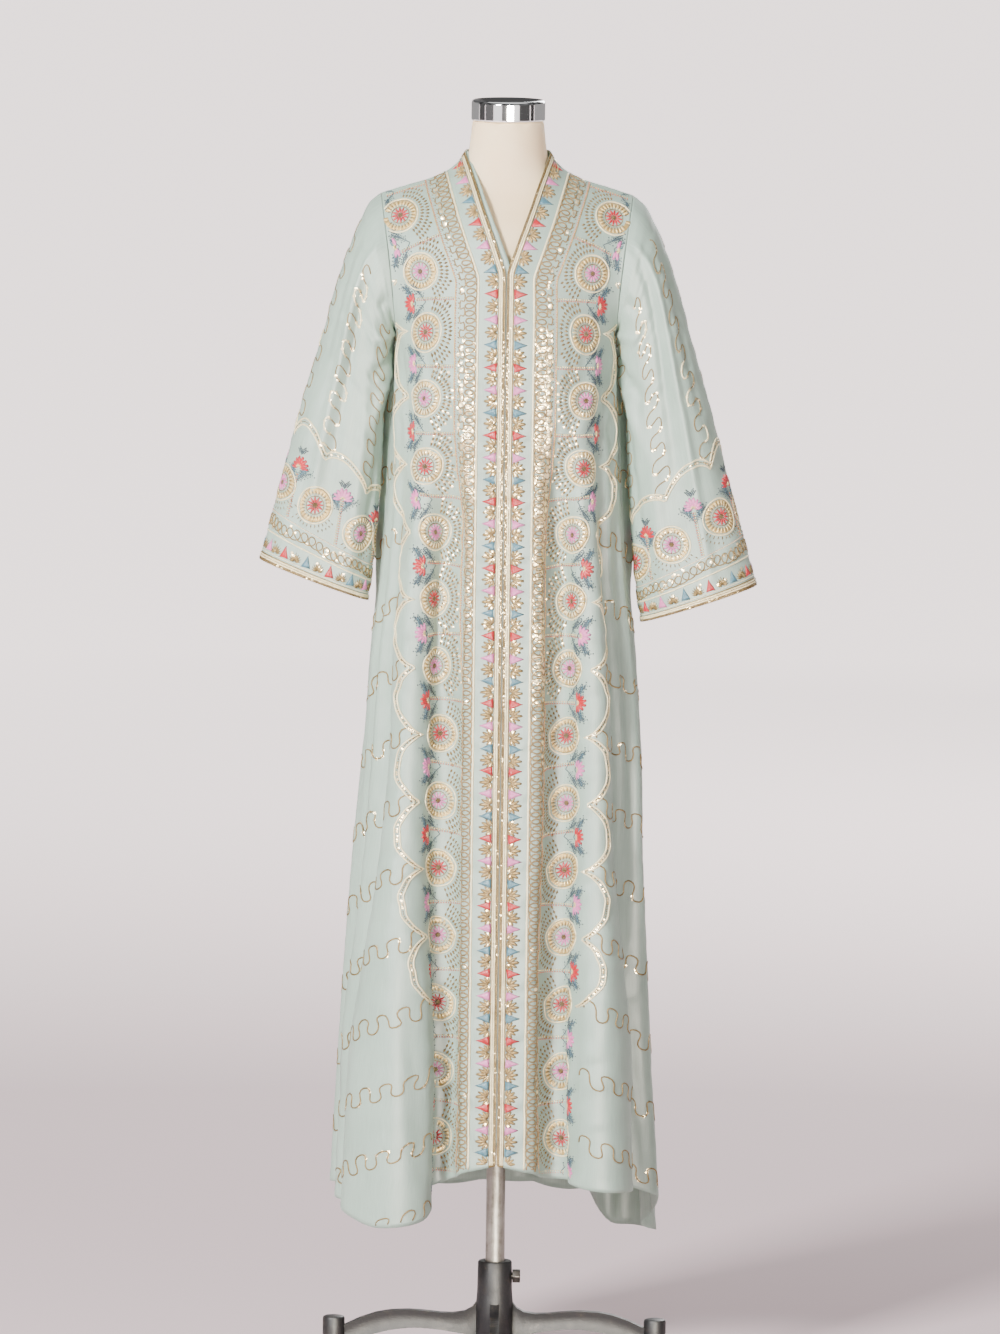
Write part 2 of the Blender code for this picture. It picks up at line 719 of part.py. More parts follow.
def sleeve_ellipse(side, turn, section, share, places):
    """One ring of the sleeve before it is drawn to the armhole."""
    outer_x, outer_z, inner_x, inner_z, depth, middle = section
    half = np.array([outer_x - inner_x, 0, outer_z - inner_z]) / 2
    centre = np.array([outer_x + inner_x, 2 * middle, outer_z + inner_z]) / 2
    outward = np.cos(turn)[:, None] * half + np.sin(turn)[:, None] * np.array([0, -depth, 0])
    size = np.linalg.norm(outward, axis=1)
    raised = np.zeros(len(turn))
    for row in range(len(SLEEVE_FOLDS["place"])):
        fold = {name: column[row] for name, column in SLEEVE_FOLDS.items()}
        away = np.abs((places - fold["place"] + 0.5) % 1 - 0.5) / fold["width"]
        grown = smooth(fold["start"], fold["full"], share) * (1 - smooth(fold["full"], fold["end"], share))
        raised += grown * fold["depth"] * np.cos(np.minimum(away, 1) * math.pi / 2) ** 2
    ring = centre + outward * (1 + raised / size)[:, None]
    return ring * np.array([SIDES[side], 1, 1])


def ring_normals(side, rings):
    """Outward normals of rings that run from the outer edge to the front, inner edge and back."""
    round_it = np.roll(rings, -1, axis=1) - np.roll(rings, 1, axis=1)
    normal = np.cross(round_it, np.gradient(rings, axis=0)) * SIDES[side]
    return normal / np.linalg.norm(normal, axis=2)[:, :, None]


def volume(points, faces):
    """Six times the volume within the faces, negative where they face inwards."""
    total = 0.0
    for face in faces:
        for k in range(1, len(face) - 1):
            total += np.dot(points[face[0]], np.cross(points[face[k]], points[face[k + 1]]))
    return total


def add_solid(name, finish, points, faces):
    """A closed solid, with its faces turned outwards."""
    points = np.asarray(points, float)
    if volume(points, faces) < 0:
        faces = [tuple(reversed(face)) for face in faces]
    return mesh_object(name, points, faces, material(finish))


def material(finish):
    """The material of a finish, made once."""
    found = bpy.data.materials.get(finish)
    if found:
        return found
    colour, roughness, metallic = COLOURS[finish]
    found = bpy.data.materials.new(finish)
    found.use_nodes = True
    shader = found.node_tree.nodes["Principled BSDF"]
    shader.inputs["Base Color"].default_value = (*colour, 1)
    shader.inputs["Roughness"].default_value = roughness
    shader.inputs["Metallic"].default_value = metallic
    return found


def loft(rings):
    """Points and faces of a solid through rings of as many points each, closed at both ends."""
    count = len(rings[0])
    points = np.concatenate(rings)
    faces = [tuple(range(count))]
    for start in range(0, len(points) - count, count):
        for k in range(count):
            n = (k + 1) % count
            faces.append((start + n, start + k, start + count + k, start + count + n))
    faces.append(tuple(range(len(points) - 1, len(points) - count - 1, -1)))
    return points, faces


def circle(radius, height, sides, x=0.0, y=0.0):
    turn = np.arange(sides) / sides * 2 * math.pi
    ring = [x + radius * np.cos(turn), y + radius * np.sin(turn), np.full(sides, float(height))]
    return np.column_stack(ring)


def add_panels():
    """The fronts, the back, the sleeves and what is sewn on them."""
    halves = {side: half_panels(side) for side in SIDES}
    fronts, backs, loops = {}, {}, {}
    for side, (front, back) in halves.items():
        fronts[side] = grid_of(front, side, front_distances)
        backs[side] = grid_of(back, side, back_distances)
        loops[side] = armhole_loop(side, front, back)
    for side, (points, normals) in fronts.items():
        add_solid(f"front_{side}", "cloth", *wall(points, points - WALL * normals))
        strip, strip_normals = points[:, :2], normals[:, :2]
        add_strip(f"front_braid_{side}", strip, strip_normals)
    right, left = backs["right"], backs["left"]
    points, normals = (np.concatenate([right[k][:, ::-1], left[k][:, 1:]], axis=1) for k in (0, 1))
    add_solid("back", "cloth", *wall(points, points - WALL * normals))
    middle = right[0].shape[1] - 1
    neck = slice(middle - NECK_COLUMNS, middle + NECK_COLUMNS + 1)
    add_strip("neck_braid", points[-BRAID_ROWS:, neck], normals[-BRAID_ROWS:, neck])
    add_underlap(halves)
    for side in SIDES:
        add_sleeve(side, *loops[side])


def add_strip(name, points, normals):
    """A braid that lies a seam's gap off the cloth."""
    lower = points + SEAM * normals
    add_solid(name, "braid", *wall(lower + BRAID_THICK * normals, lower))


def add_sleeve(side, loop, normals, places):
    rings = sleeve_rings(side, loop, places, SLEEVE_SHARES)
    outward = ring_normals(side, rings)
    outward[0] = normals
    add_solid(f"sleeve_{side}", "cloth", *tube(rings, rings - WALL * outward))
    band = rings[-2:] + SEAM * outward[-2:]
    add_solid(f"cuff_braid_{side}", "braid", *tube(band + BRAID_THICK * outward[-2:], band))


def add_underlap(halves):
    """The strip behind the opening, fixed to the left front, that shows in the V of the neck."""
    left, right = halves["left"][0], halves["right"][0]
    points, normals = [], []
    for row in range(1, BODY_ROWS + YOKE_ROWS - UNDERLAP_ROWS_SHORT):
        line, line_normals = [], []
        for distance in UNDERLAP_HIDDEN:
            level = row_level(left, "left", 0.0, row)
            point, normal = left.read(level, distance)
            line.append(point[:3])
            line_normals.append(normal)
        edge = line[-1]
        if edge[2] < V_POINT_Z + 1:
            reach = [right.read(level, distance) for distance in UNDERLAP_REACHES]
            line += [point[:3] for point, _ in reach]
            line_normals += [normal for _, normal in reach]
        else:
            share = (edge[2] - V_POINT_Z) / (NECK_POINT_Z - V_POINT_Z)
            ahead = (line[-1] - line[-2]) / np.linalg.norm(line[-1] - line[-2])
            shows = UNDERLAP_SHOWS_BELOW * (1 - share) + UNDERLAP_SHOWS_ABOVE * share
            line += [edge + ahead * shows / 2, edge + ahead * shows]
            line_normals += [line_normals[-1]] * 2
        points.append(line)
        normals.append(line_normals)
    points, normals = np.array(points), np.array(normals)
    outer = points - (WALL + UNDERLAP_GAP) * normals
    add_solid("front_underlap", "cloth", *wall(outer, outer - WALL * normals))


def add_form():
    """The dress form, with a blind socket under it for the pole to turn in, and its neck cap."""
    rings = []
    turn = np.arange(FORM_SIDES) / FORM_SIDES * 2 * math.pi
    for row in range(len(FORM["height"])):
        level = {name: column[row] for name, column in FORM.items()}
        power = 2 / level["square"]
        across = np.sign(np.sin(turn)) * np.abs(np.sin(turn)) ** power * level["half_width"]
        inward = np.abs(np.cos(turn)) ** power
        depth = np.where(np.cos(turn) > 0, -level["front"] * inward, level["back"] * inward)
        rings.append(np.column_stack([across, depth, np.full(FORM_SIDES, level["height"])]))
    torso = add_solid("form_torso", "form", *loft(rings))
    socket = [circle(BORE_R, z, TURNING_SIDES) for z in (SOCKET_START_Z, POLE_TOP_Z + SEAM)]
    drill_out(torso, "pole_socket", socket)
    add_solid("neck_cap", "chrome", *loft([circle(r, z, CAP_SIDES) for r, z in CAP_PROFILE]))


def add_stand():
    """The pole, the base with its collar and legs, and the clamp screw."""
    add_solid("pole", "steel", *loft([circle(r, z, TURNING_SIDES) for r, z in POLE_PROFILE]))
    rings = np.array([circle(r, z, TURNING_SIDES) for r, z in COLLAR_PROFILE])
    faces = []
    for ring in range(len(rings)):
        first, second = ring * TURNING_SIDES, (ring + 1) % len(rings) * TURNING_SIDES
        for k in range(TURNING_SIDES):
            n = (k + 1) % TURNING_SIDES
            faces.append((first + k, first + n, second + n, second + k))
    base = add_solid("stand_base", "iron", rings.reshape(-1, 3), faces)
    castings = bpy.data.collections.new("castings")
    bpy.context.scene.collection.children.link(castings)
    for number in range(LEGS):
        turn = number * 2 * math.pi / LEGS
        for name, solid in (("leg", leg_solid()), ("post", post_solid())):
            piece = add_solid(f"{name}_{number}", "iron", *solid)
            piece.rotation_euler = (0, 0, turn)
            guide(piece, castings)
    joined = base.modifiers.new("castings", "BOOLEAN")
    joined.operation = "UNION"
    joined.operand_type = "COLLECTION"
    joined.collection = castings
    hole = circle(SCREW_R + SCREW_PLAY, 0, ROUND_SIDES)
    drill = [np.column_stack([np.full(ROUND_SIDES, x), hole[:, 1], SCREW_Z + hole[:, 0]])
             for x in SCREW_HOLE_X]
    drill_out(base, "screw_hole", drill)
    add_screw()


def drill_out(solid, name, rings):
    """Cuts the solid with a guide through the rings."""
    cutter = add_solid(name, "iron", *loft(rings))
    guide(cutter, bpy.context.scene.collection)
    cut = solid.modifiers.new(name, "BOOLEAN")
    cut.operation = "DIFFERENCE"
    cut.object = cutter


def guide(obj, collection):
    """Turns an object into a guide for a Boolean."""
    for other in list(obj.users_collection):
        other.objects.unlink(obj)
    collection.objects.link(obj)
    obj.hide_render = True
    obj.display_type = "WIRE"


def leg_solid():
    """One leg along +X: a web with a rounded rim on top."""
    rings = []
    for row in range(len(LEG["reach"])):
        level = {name: column[row] for name, column in LEG.items()}
        rim, top, bottom = level["rim"], level["top"], level["bottom"]
        half = [(LEG_WEB, bottom), (LEG_WEB, top - RIM_START), (rim, top - RIM_FULL),
                (rim, top - RIM_ROUND), (rim - RIM_ROUND, top)]
        outline = half + [(-y, z) for y, z in reversed(half)]
        rings.append(np.array([(level["reach"], y, z) for y, z in outline]))
    return loft(rings)


def post_solid():
    """The upright post at a leg's end, with a round top and a foot."""
    return loft([circle(r, z, POST_SIDES, LEG_REACH) for r, z in POST_PROFILE])


def add_screw():
    """The clamp screw in the collar's +X side, its tip just off the pole."""
    turn = np.arange(ROUND_SIDES) / ROUND_SIDES * 2 * math.pi
    flats = np.cos(math.pi / 6) / np.cos((turn % (math.pi / 3)) - math.pi / 6)
    rings = []
    for x, radius, six in SCREW_PROFILE:
        reach = radius * (flats if six else np.ones(ROUND_SIDES))
        rings.append(np.column_stack([np.full(ROUND_SIDES, x), reach * np.sin(turn),
                                      SCREW_Z + reach * np.cos(turn)]))
    add_solid("clamp_screw", "steel", *loft(rings))


def main():
    for old in list(bpy.data.objects):
        bpy.data.objects.remove(old, do_unlink=True)
    add_panels()
    add_form()
    add_stand()


main()
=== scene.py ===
import json
import math

import bmesh
import bpy
import numpy as np
from mathutils import Euler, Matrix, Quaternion, Vector
from mathutils.bvhtree import BVHTree

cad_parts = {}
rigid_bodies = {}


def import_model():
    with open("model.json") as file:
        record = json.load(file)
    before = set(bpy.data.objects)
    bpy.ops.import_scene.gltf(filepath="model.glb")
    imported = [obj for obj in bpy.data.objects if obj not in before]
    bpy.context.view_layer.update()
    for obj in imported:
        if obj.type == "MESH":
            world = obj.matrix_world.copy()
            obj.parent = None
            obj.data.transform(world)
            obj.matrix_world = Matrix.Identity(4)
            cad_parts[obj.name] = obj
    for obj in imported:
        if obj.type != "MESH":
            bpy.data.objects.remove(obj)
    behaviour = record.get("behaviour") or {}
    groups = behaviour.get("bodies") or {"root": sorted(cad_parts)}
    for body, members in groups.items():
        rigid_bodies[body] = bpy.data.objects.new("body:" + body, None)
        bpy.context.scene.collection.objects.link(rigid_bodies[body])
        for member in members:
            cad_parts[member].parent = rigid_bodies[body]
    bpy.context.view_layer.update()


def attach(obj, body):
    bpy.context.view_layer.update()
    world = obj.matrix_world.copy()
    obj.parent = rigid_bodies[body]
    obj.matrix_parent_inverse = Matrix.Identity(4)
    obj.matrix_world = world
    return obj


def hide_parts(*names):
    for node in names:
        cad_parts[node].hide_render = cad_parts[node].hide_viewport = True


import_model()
SHELL = 0.9
SEAM = 0.3
SIDES = {"left": -1.0, "right": 1.0}


def table(columns, rows):
    """The rows as one array for each named column."""
    return dict(zip(columns.split(), np.array(rows, float).T))


# Sizes of the cloth body, in millimetres, as in the solids
ARMPIT_Z = 1408.0
V_POINT_Z = 1500.0
V_POINT_Y = -103.0
NECK_POINT_Z = 1654.0
NECK_BACK_Z = 1652.0
SHOULDER_Z = 1596.0
BODY = table("height left right front back square", [
    (170, 221, 214, 166, 172, 2.1), (300, 216, 207, 163, 166, 2.15), (420, 210, 198, 158, 158, 2.2),
    (530, 204, 193, 153, 151, 2.25), (640, 197, 190, 148, 144, 2.3), (860, 181, 186, 138, 130, 2.35),
    (990, 173, 175, 130, 120, 2.4), (1060, 166, 167, 126, 114, 2.4), (1180, 157, 158, 124, 104, 2.35),
    (1290, 152, 152, 127, 101, 2.3), (1350, 150, 150, 126, 101, 2.25), (1408, 149, 149, 118, 101, 2.2),
    (1440, 149, 149, 112, 101, 2.2)])
FOLD_COLUMNS = "place_top place_hem width depth spread start full drop"
FOLDS = {
    "left": table(FOLD_COLUMNS, [
        (0.195, 0.165, 0.08, -25, 0, 1330, 1060, 0), (0.285, 0.275, 0.07, 9, 3, 1240, 980, 0),
        (0.3, 0.272, 0.115, 38, 30, 900, 400, 8), (0.33, 0.32, 0.07, 4, 0, 700, 350, 4),
        (0.42, 0.415, 0.055, -17, 0, 980, 520, -4), (0.48, 0.475, 0.04, 7, 3, 1100, 700, 4),
        (0.575, 0.575, 0.06, -15, 0, 900, 450, 0), (0.66, 0.65, 0.075, 22, 12, 950, 420, 14),
        (0.78, 0.78, 0.07, -18, 0, 1150, 600, 0), (0.9, 0.895, 0.08, 17, 8, 1150, 560, 10)]),
    "right": table(FOLD_COLUMNS, [
        (0.2, 0.168, 0.08, -23, 0, 1330, 1060, 0), (0.285, 0.27, 0.06, 8, 2, 1240, 980, 0),
        (0.275, 0.255, 0.08, 27, 13, 820, 400, 5), (0.36, 0.355, 0.06, -12, 0, 980, 480, 0),
        (0.43, 0.43, 0.07, 11, 3, 900, 420, 6), (0.55, 0.55, 0.045, -12, 0, 1000, 520, 0),
        (0.64, 0.635, 0.07, 20, 12, 900, 420, 0), (0.73, 0.73, 0.065, -18, 0, 1100, 560, 0),
        (0.85, 0.85, 0.07, 19, 10, 1150, 560, 12), (0.955, 0.955, 0.05, -10, 0, 1150, 700, 0)]),
}
HEM = table("place left right", [
    (0, 302, 302), (0.09, 288, 290), (0.15, 272, 280), (0.2, 236, 277), (0.25, 226, 272), (0.29, 246, 268),
    (0.37, 252, 262), (0.43, 256, 250), (0.48, 262, 226), (0.6, 254, 184), (0.68, 247, 182),
    (0.8, 238, 232), (1, 232, 232)])
SHOULDER_SEAM = table("x y z", [
    (56.5, -3, NECK_POINT_Z), (66, -2, 1640), (76, -1, 1630.5), (100, 0, 1618), (131, 1, 1608),
    (169, 2, SHOULDER_Z)])
NECK_EDGE = table("x y z", [
    (0, V_POINT_Y, V_POINT_Z), (14, -92, 1540), (28, -75, 1578), (40, -53, 1612), (50, -27, 1638),
    (56.5, -3, NECK_POINT_Z)])
FRONT_ARMHOLE = table("x y z", [
    (149, 0, ARMPIT_Z), (148.5, -22, 1415), (150, -42, 1437), (153, -54, 1472), (157, -55, 1510),
    (162, -44, 1548), (167, -22, 1582), (169, 2, SHOULDER_Z)])
BACK_ARMHOLE = table("x y z", [
    (149, 0, ARMPIT_Z), (148.5, 22, 1415), (150, 40, 1437), (153, 51, 1472), (157, 53, 1510),
    (162, 43, 1548), (167, 23, 1582), (169, 2, SHOULDER_Z)])
BACK_MIDDLE = table("x y z", [
    (0, 101, ARMPIT_Z), (0, 104, 1480), (0, 99, 1550), (0, 80, 1610), (0, 60, NECK_BACK_Z)])
BACK_NECK = table("x y z", [
    (0, 60, NECK_BACK_Z), (24, 55, 1652.5), (44, 37, 1653.5), (55, 14, 1654), (56.5, -3, NECK_POINT_Z)])
SLEEVE_COLUMNS = "share outer_x outer_z inner_x inner_z depth middle"
SLEEVES = {
    "left": table(SLEEVE_COLUMNS, [
        (0, 169, 1596, 149, 1408, 54, 1), (0.04, 180, 1588, 153, 1411, 56, 1),
        (0.1, 193, 1568, 157, 1403, 57, 0), (0.2, 209, 1530, 159, 1381, 56, -2),
        (0.35, 228, 1474, 161, 1334, 52, -5), (0.5, 247, 1403, 163, 1280, 48, -8),
        (0.65, 272, 1318, 166, 1212, 45, -10), (0.8, 296, 1223, 171, 1140, 42, -11),
        (0.92, 315, 1148, 177, 1079, 39, -12), (1, 327, 1102, 182, 1048, 38, -12)]),
    "right": table(SLEEVE_COLUMNS, [
        (0, 169, 1596, 149, 1408, 54, 1), (0.04, 181, 1587, 153, 1411, 56, 1),
        (0.1, 195, 1566, 157, 1403, 57, 0), (0.2, 212, 1528, 159, 1379, 56, -2),
        (0.35, 232, 1468, 162, 1330, 52, -5), (0.5, 253, 1392, 164, 1272, 49, -8),
        (0.65, 279, 1302, 168, 1200, 47, -10), (0.8, 305, 1203, 174, 1122, 44, -11),
        (0.92, 327, 1124, 181, 1056, 42, -12), (1, 341, 1074, 187, 1023, 41, -12)]),
}
SLEEVE_FOLDS = table("place width depth start full end", [
    (0.13, 0.07, 4, 0.02, 0.3, 1.3), (0.27, 0.08, -5, 0.05, 0.35, 1.2), (0.4, 0.06, 4.5, 0.08, 0.3, 0.9),
    (0.64, 0.07, -4, 0.1, 0.4, 1.2), (0.78, 0.08, 4.5, 0.05, 0.35, 1.3), (0.9, 0.06, -3.5, 0.1, 0.4, 1.1)])
ARMHOLE_SHARES = [0, 0.06, 0.12, 0.18, 0.24, 0.3, 0.36, 0.42, 0.48, 0.54, 0.6, 0.66, 0.72, 0.78, 0.83, 0.875,
                  0.92, 0.95, 0.975, 0.994, 1]
ARMHOLE_FADE = 0.22
FAR = 1e6
SAMPLES = 241
LOWER_LEVELS = 280
YOKE_LEVELS = 90
ARMPIT_LEVEL = LOWER_LEVELS - 1
SHOULDER_ROUND = 2.6
FOLD_ROUND = 1.3
LOWEST_FOLD_Z = 250.0
LOWEST_Z = 170.0
MEAN_HEM_Z = 262.0
HEM_BLEND = 0.3
OPENING = 1.5

CREASE_STRENGTH = 2.3
SLEEVE_CREASE_STRENGTH = 1.7
CREASE_ENDS = 0.6
EMBROIDERED_ACROSS = (210, 150)
OFF_FORM_Z = (1430, 1360)
DEEP_FOLD_COLUMNS = "place_top place_hem width depth start full"
DEEP_FOLDS = {
    "left": table(DEEP_FOLD_COLUMNS, [
        (0.166, 0.132, 0.04, -21, 1340, 1080), (0.262, 0.222, 0.04, 11, 1340, 1080),
        (0.33, 0.318, 0.022, -26, 1150, 640)]),
    "right": table(DEEP_FOLD_COLUMNS, [
        (0.17, 0.14, 0.04, -17, 1340, 1080), (0.25, 0.228, 0.036, 12, 1340, 1080),
        (0.335, 0.32, 0.04, -10, 1340, 1080), (0.425, 0.41, 0.026, 7, 1000, 600)]),
}
DEEP_DRIFT_Z = (1340.0, 300.0)
FORM_REACH = 60.0
FORM_GAP = 4.0
FORM_CLEAR_Z = 1340.0
SOFT_STOP = 3.0
BEHIND_ARM_PLACE = 0.562
BEHIND_ARM_WIDTH = 0.036
BEHIND_ARM_SWELL = 15.0
ARMPIT_SWELL = 9.0

# Finenesses of the meshes
BODY_ROWS = 225
YOKE_ROWS = 48
LIGHT_ROWS = 170
LIGHT_YOKE_ROWS = 40
FRONT_COLUMNS = 64
BACK_COLUMNS = 46
AROUND = 120
ALONG = 100
SLEEVE_CROWDING = 1.12
STEP = 2.0
HEM_CLEAR = 2.5
CUFF_GIRTH = 372.0
SUNK = 0.15

# Creases laid over the folds: where they start and end, half width and depth in mm
CREASE_COLUMNS = "place_top z_top place_low z_low width depth wander"
CREASES = {
    "left": table(CREASE_COLUMNS, [
        (0.3, 1395, 0.23, 1290, 9, 1.8, 0), (0.4, 1400, 0.3, 1240, 8, -1.6, 0),
        (0.44, 1385, 0.37, 1180, 7, 1.8, 0), (0.345, 1260, 0.335, 760, 7, -2.4, 0.004),
        (0.375, 1230, 0.372, 640, 6, 2.6, 0.005), (0.405, 1290, 0.398, 560, 7, -2.4, 0.004),
        (0.435, 1210, 0.44, 500, 6, 2.6, 0.006), (0.462, 1330, 0.468, 760, 6, -2.2, 0.004),
        (0.12, 760, 0.135, 330, 9, -1.6, 0.003), (0.24, 560, 0.215, 270, 9, -2.4, 0),
        (0.3, 640, 0.33, 290, 10, 2.2, 0.004), (0.345, 480, 0.36, 240, 8, -2.4, 0),
        (0.52, 1350, 0.53, 700, 7, 2.6, 0.005), (0.56, 1250, 0.555, 420, 8, -2.6, 0.004),
        (0.61, 1380, 0.64, 900, 8, 2.2, 0.004), (0.7, 1200, 0.715, 420, 9, -2.6, 0.005),
        (0.745, 1340, 0.74, 640, 8, 2.4, 0.004), (0.84, 1100, 0.85, 380, 9, -2.4, 0.004),
        (0.93, 1240, 0.945, 420, 8, 2.2, 0.005)]),
    "right": table(CREASE_COLUMNS, [
        (0.32, 1398, 0.24, 1270, 9, 1.8, 0), (0.39, 1402, 0.31, 1220, 8, -1.7, 0),
        (0.445, 1390, 0.38, 1150, 7, 1.9, 0), (0.33, 1230, 0.318, 820, 7, -2.2, 0.004),
        (0.358, 1290, 0.352, 600, 6, 2.6, 0.005), (0.388, 1180, 0.392, 520, 7, -2.6, 0.004),
        (0.42, 1260, 0.41, 700, 6, 2.4, 0.005), (0.45, 1320, 0.455, 560, 6, -2.4, 0.005),
        (0.478, 1200, 0.48, 460, 7, 2.4, 0.003), (0.115, 700, 0.125, 320, 9, -1.5, 0.003),
        (0.225, 620, 0.205, 280, 8, -2.2, 0), (0.29, 700, 0.31, 260, 9, 2.2, 0.004),
        (0.385, 520, 0.4, 240, 8, -2.4, 0.003), (0.53, 1330, 0.525, 640, 7, 2.6, 0.005),
        (0.58, 1260, 0.59, 460, 8, -2.6, 0.004), (0.625, 1370, 0.65, 840, 8, 2.2, 0.004),
        (0.69, 1180, 0.7, 420, 9, 2.4, 0.005), (0.77, 1300, 0.78, 600, 8, -2.4, 0.004),
        (0.88, 1120, 0.89, 360, 9, 2.2, 0.004), (0.965, 1220, 0.975, 500, 8, -2, 0.004)]),
}
SLEEVE_CREASE_COLUMNS = "place_top share_top place_low share_low width depth"
SLEEVE_CREASES = {
    "left": table(SLEEVE_CREASE_COLUMNS, [
        (0.175, 0.02, 0.19, 0.95, 6, 3.6), (0.215, 0.1, 0.235, 0.8, 8, -2.8),
        (0.1, 0.12, 0.12, 0.6, 9, -2.2), (0.47, 0.06, 0.3, 0.3, 8, 3), (0.48, 0.14, 0.32, 0.42, 7, -2.8),
        (0.46, 0.24, 0.35, 0.56, 8, 2.6), (0.42, 0.42, 0.395, 0.92, 8, -2.4),
        (0.36, 0.03, 0.3, 0.16, 8, -2.2), (0.33, 0.5, 0.345, 0.98, 9, 2), (0.56, 0.06, 0.7, 0.34, 8, 2.8),
        (0.58, 0.2, 0.69, 0.5, 8, -2.6), (0.83, 0.04, 0.82, 0.92, 7, 3), (0.72, 0.4, 0.74, 0.96, 9, -2.2),
        (0.93, 0.1, 0.95, 0.7, 8, -2.2)]),
    "right": table(SLEEVE_CREASE_COLUMNS, [
        (0.165, 0.02, 0.2, 0.97, 6, 3.8), (0.205, 0.08, 0.245, 0.76, 8, -3),
        (0.09, 0.16, 0.115, 0.66, 9, -2.2), (0.475, 0.05, 0.31, 0.26, 8, 3),
        (0.48, 0.16, 0.33, 0.45, 7, -3), (0.455, 0.28, 0.345, 0.6, 8, 2.8),
        (0.425, 0.46, 0.385, 0.94, 8, -2.4), (0.35, 0.04, 0.29, 0.18, 8, -2.4),
        (0.32, 0.55, 0.335, 0.98, 9, 2), (0.57, 0.08, 0.69, 0.36, 8, 2.8),
        (0.59, 0.22, 0.7, 0.52, 8, -2.6), (0.84, 0.04, 0.825, 0.9, 7, 3),
        (0.715, 0.38, 0.745, 0.96, 9, -2.2), (0.94, 0.12, 0.955, 0.72, 8, -2.2)]),
}
rng = np.random.default_rng(7)
PUCKERS = np.column_stack([rng.uniform(0, 2 * math.pi, 14), 1 / rng.uniform(16, 46, 14),
                           rng.uniform(0, 2 * math.pi, 14), rng.uniform(0.16, 0.40, 14)])


def rows_of(columns):
    return zip(*columns.values())


def smooth(start, full, value):
    """0 at start, 1 at full, eased at both ends."""
    t = np.clip((value - start) / (full - start), 0.0, 1.0)
    return t * t * (3.0 - 2.0 * t)


def hump(away):
    """1 at 0, eased down to 0 at 1 and beyond."""
    return np.cos(np.minimum(np.abs(away), 1) * math.pi / 2) ** 2


def unit(vectors):
    return vectors / np.maximum(np.linalg.norm(vectors, axis=-1, keepdims=True), 1e-9)


def run(points):
    """How far along its line each point lies, for one line of points or a grid of lines."""
    steps = np.linalg.norm(np.diff(points, axis=0), axis=-1)
    return np.concatenate([np.zeros_like(steps[:1]), np.cumsum(steps, axis=0)])


def widths(rows):
    return np.linalg.norm(np.diff(rows, axis=1), axis=2).sum(axis=1)


def follow(columns, names, value):
    """A smooth curve through the rows of a table, read at one value of its first column."""
    keys = next(iter(columns.values()))
    value = np.clip(value, keys[0], keys[-1])
    low = np.clip(np.searchsorted(keys, value, side="right") - 1, 0, len(keys) - 2)
    span = keys[low + 1] - keys[low]
    t = (value - keys[low]) / span
    found = []
    for column in (columns[name] for name in names):
        slopes = np.gradient(column, keys)
        steps = np.diff(column) / np.diff(keys)
        slopes[1:-1][steps[:-1] * steps[1:] <= 0] = 0.0
        found.append(column[low] * (1 + 2 * t) * (1 - t) ** 2 + slopes[low] * span * t * (1 - t) ** 2
                     + column[low + 1] * t * t * (3 - 2 * t) + slopes[low + 1] * span * t * t * (t - 1))
    return found


def at_shares(points, shares):
    """Points at shares of the length of a polyline. Columns after x, y, z are carried along."""
    lengths = run(points[:, :3])
    wanted = np.asarray(shares) * lengths[-1]
    return np.column_stack([np.interp(wanted, lengths, column) for column in points.T])


def along(columns, shares):
    """Points at shares of the length of a curve given as x, y, z columns."""
    knots = run(np.column_stack(list(columns.values())))
    curve = {"share": knots / knots[-1], **columns}
    return at_shares(np.column_stack(follow(curve, "xyz", np.linspace(0, 1, 20 * len(knots)))), shares)


def hem_height(side, place):
    """Height of the hem at a place round the half body."""
    (height,) = follow(HEM, [side], place)
    for _, middle, half, _, _, _, _, drop in rows_of(FOLDS[side]):
        height = height - drop * hump((place - middle) / half)
    return height


def half_section(side, height):
    """Middle front to middle back of the cloth body at one height, as points and their places."""
    width, front, back, square = follow(BODY, [side, "front", "back", "square"], height)
    turn = np.linspace(0, math.pi, 4 * SAMPLES)
    across = np.sin(turn) ** (2 / square)
    inward = np.abs(np.cos(turn)) ** (2 / square)
    depth = np.where(turn < math.pi / 2, -front * inward, back * inward)
    place = np.linspace(0, 1, 2 * SAMPLES)
    ring = at_shares(np.column_stack([width * across, depth, np.full(len(turn), height)]), place)
    tangent = unit(np.gradient(ring, axis=0))
    tangent[0] = tangent[-1] * -1
    outward = np.column_stack([tangent[:, 1], -tangent[:, 0], np.zeros(len(ring))])
    for place_top, place_hem, half, deep, spread, start, full, _ in rows_of(FOLDS[side]):
        grown = smooth(start, full, height)
        down = smooth(start, LOWEST_FOLD_Z, height)
        middle = place_top * (1 - down) + place_hem * down
        away = np.clip((place - middle) / half, -1, 1)
        ridge = np.maximum(np.cos(away * math.pi / 2), 0) ** FOLD_ROUND
        ring += outward * (grown * deep * ridge)[:, None]
        ring += tangent * (grown * grown * spread * np.sin(away * math.pi))[:, None]
    ring[0, 0] = ring[-1, 0] = 0.0
    return np.column_stack([ring, place])


def yoke_shares(steps):
    """Shares of the way from the armpit to the shoulder, close together at both ends."""
    return np.sin((1 - (1 - steps) ** 1.4) * math.pi / 2) ** (2 / SHOULDER_ROUND)


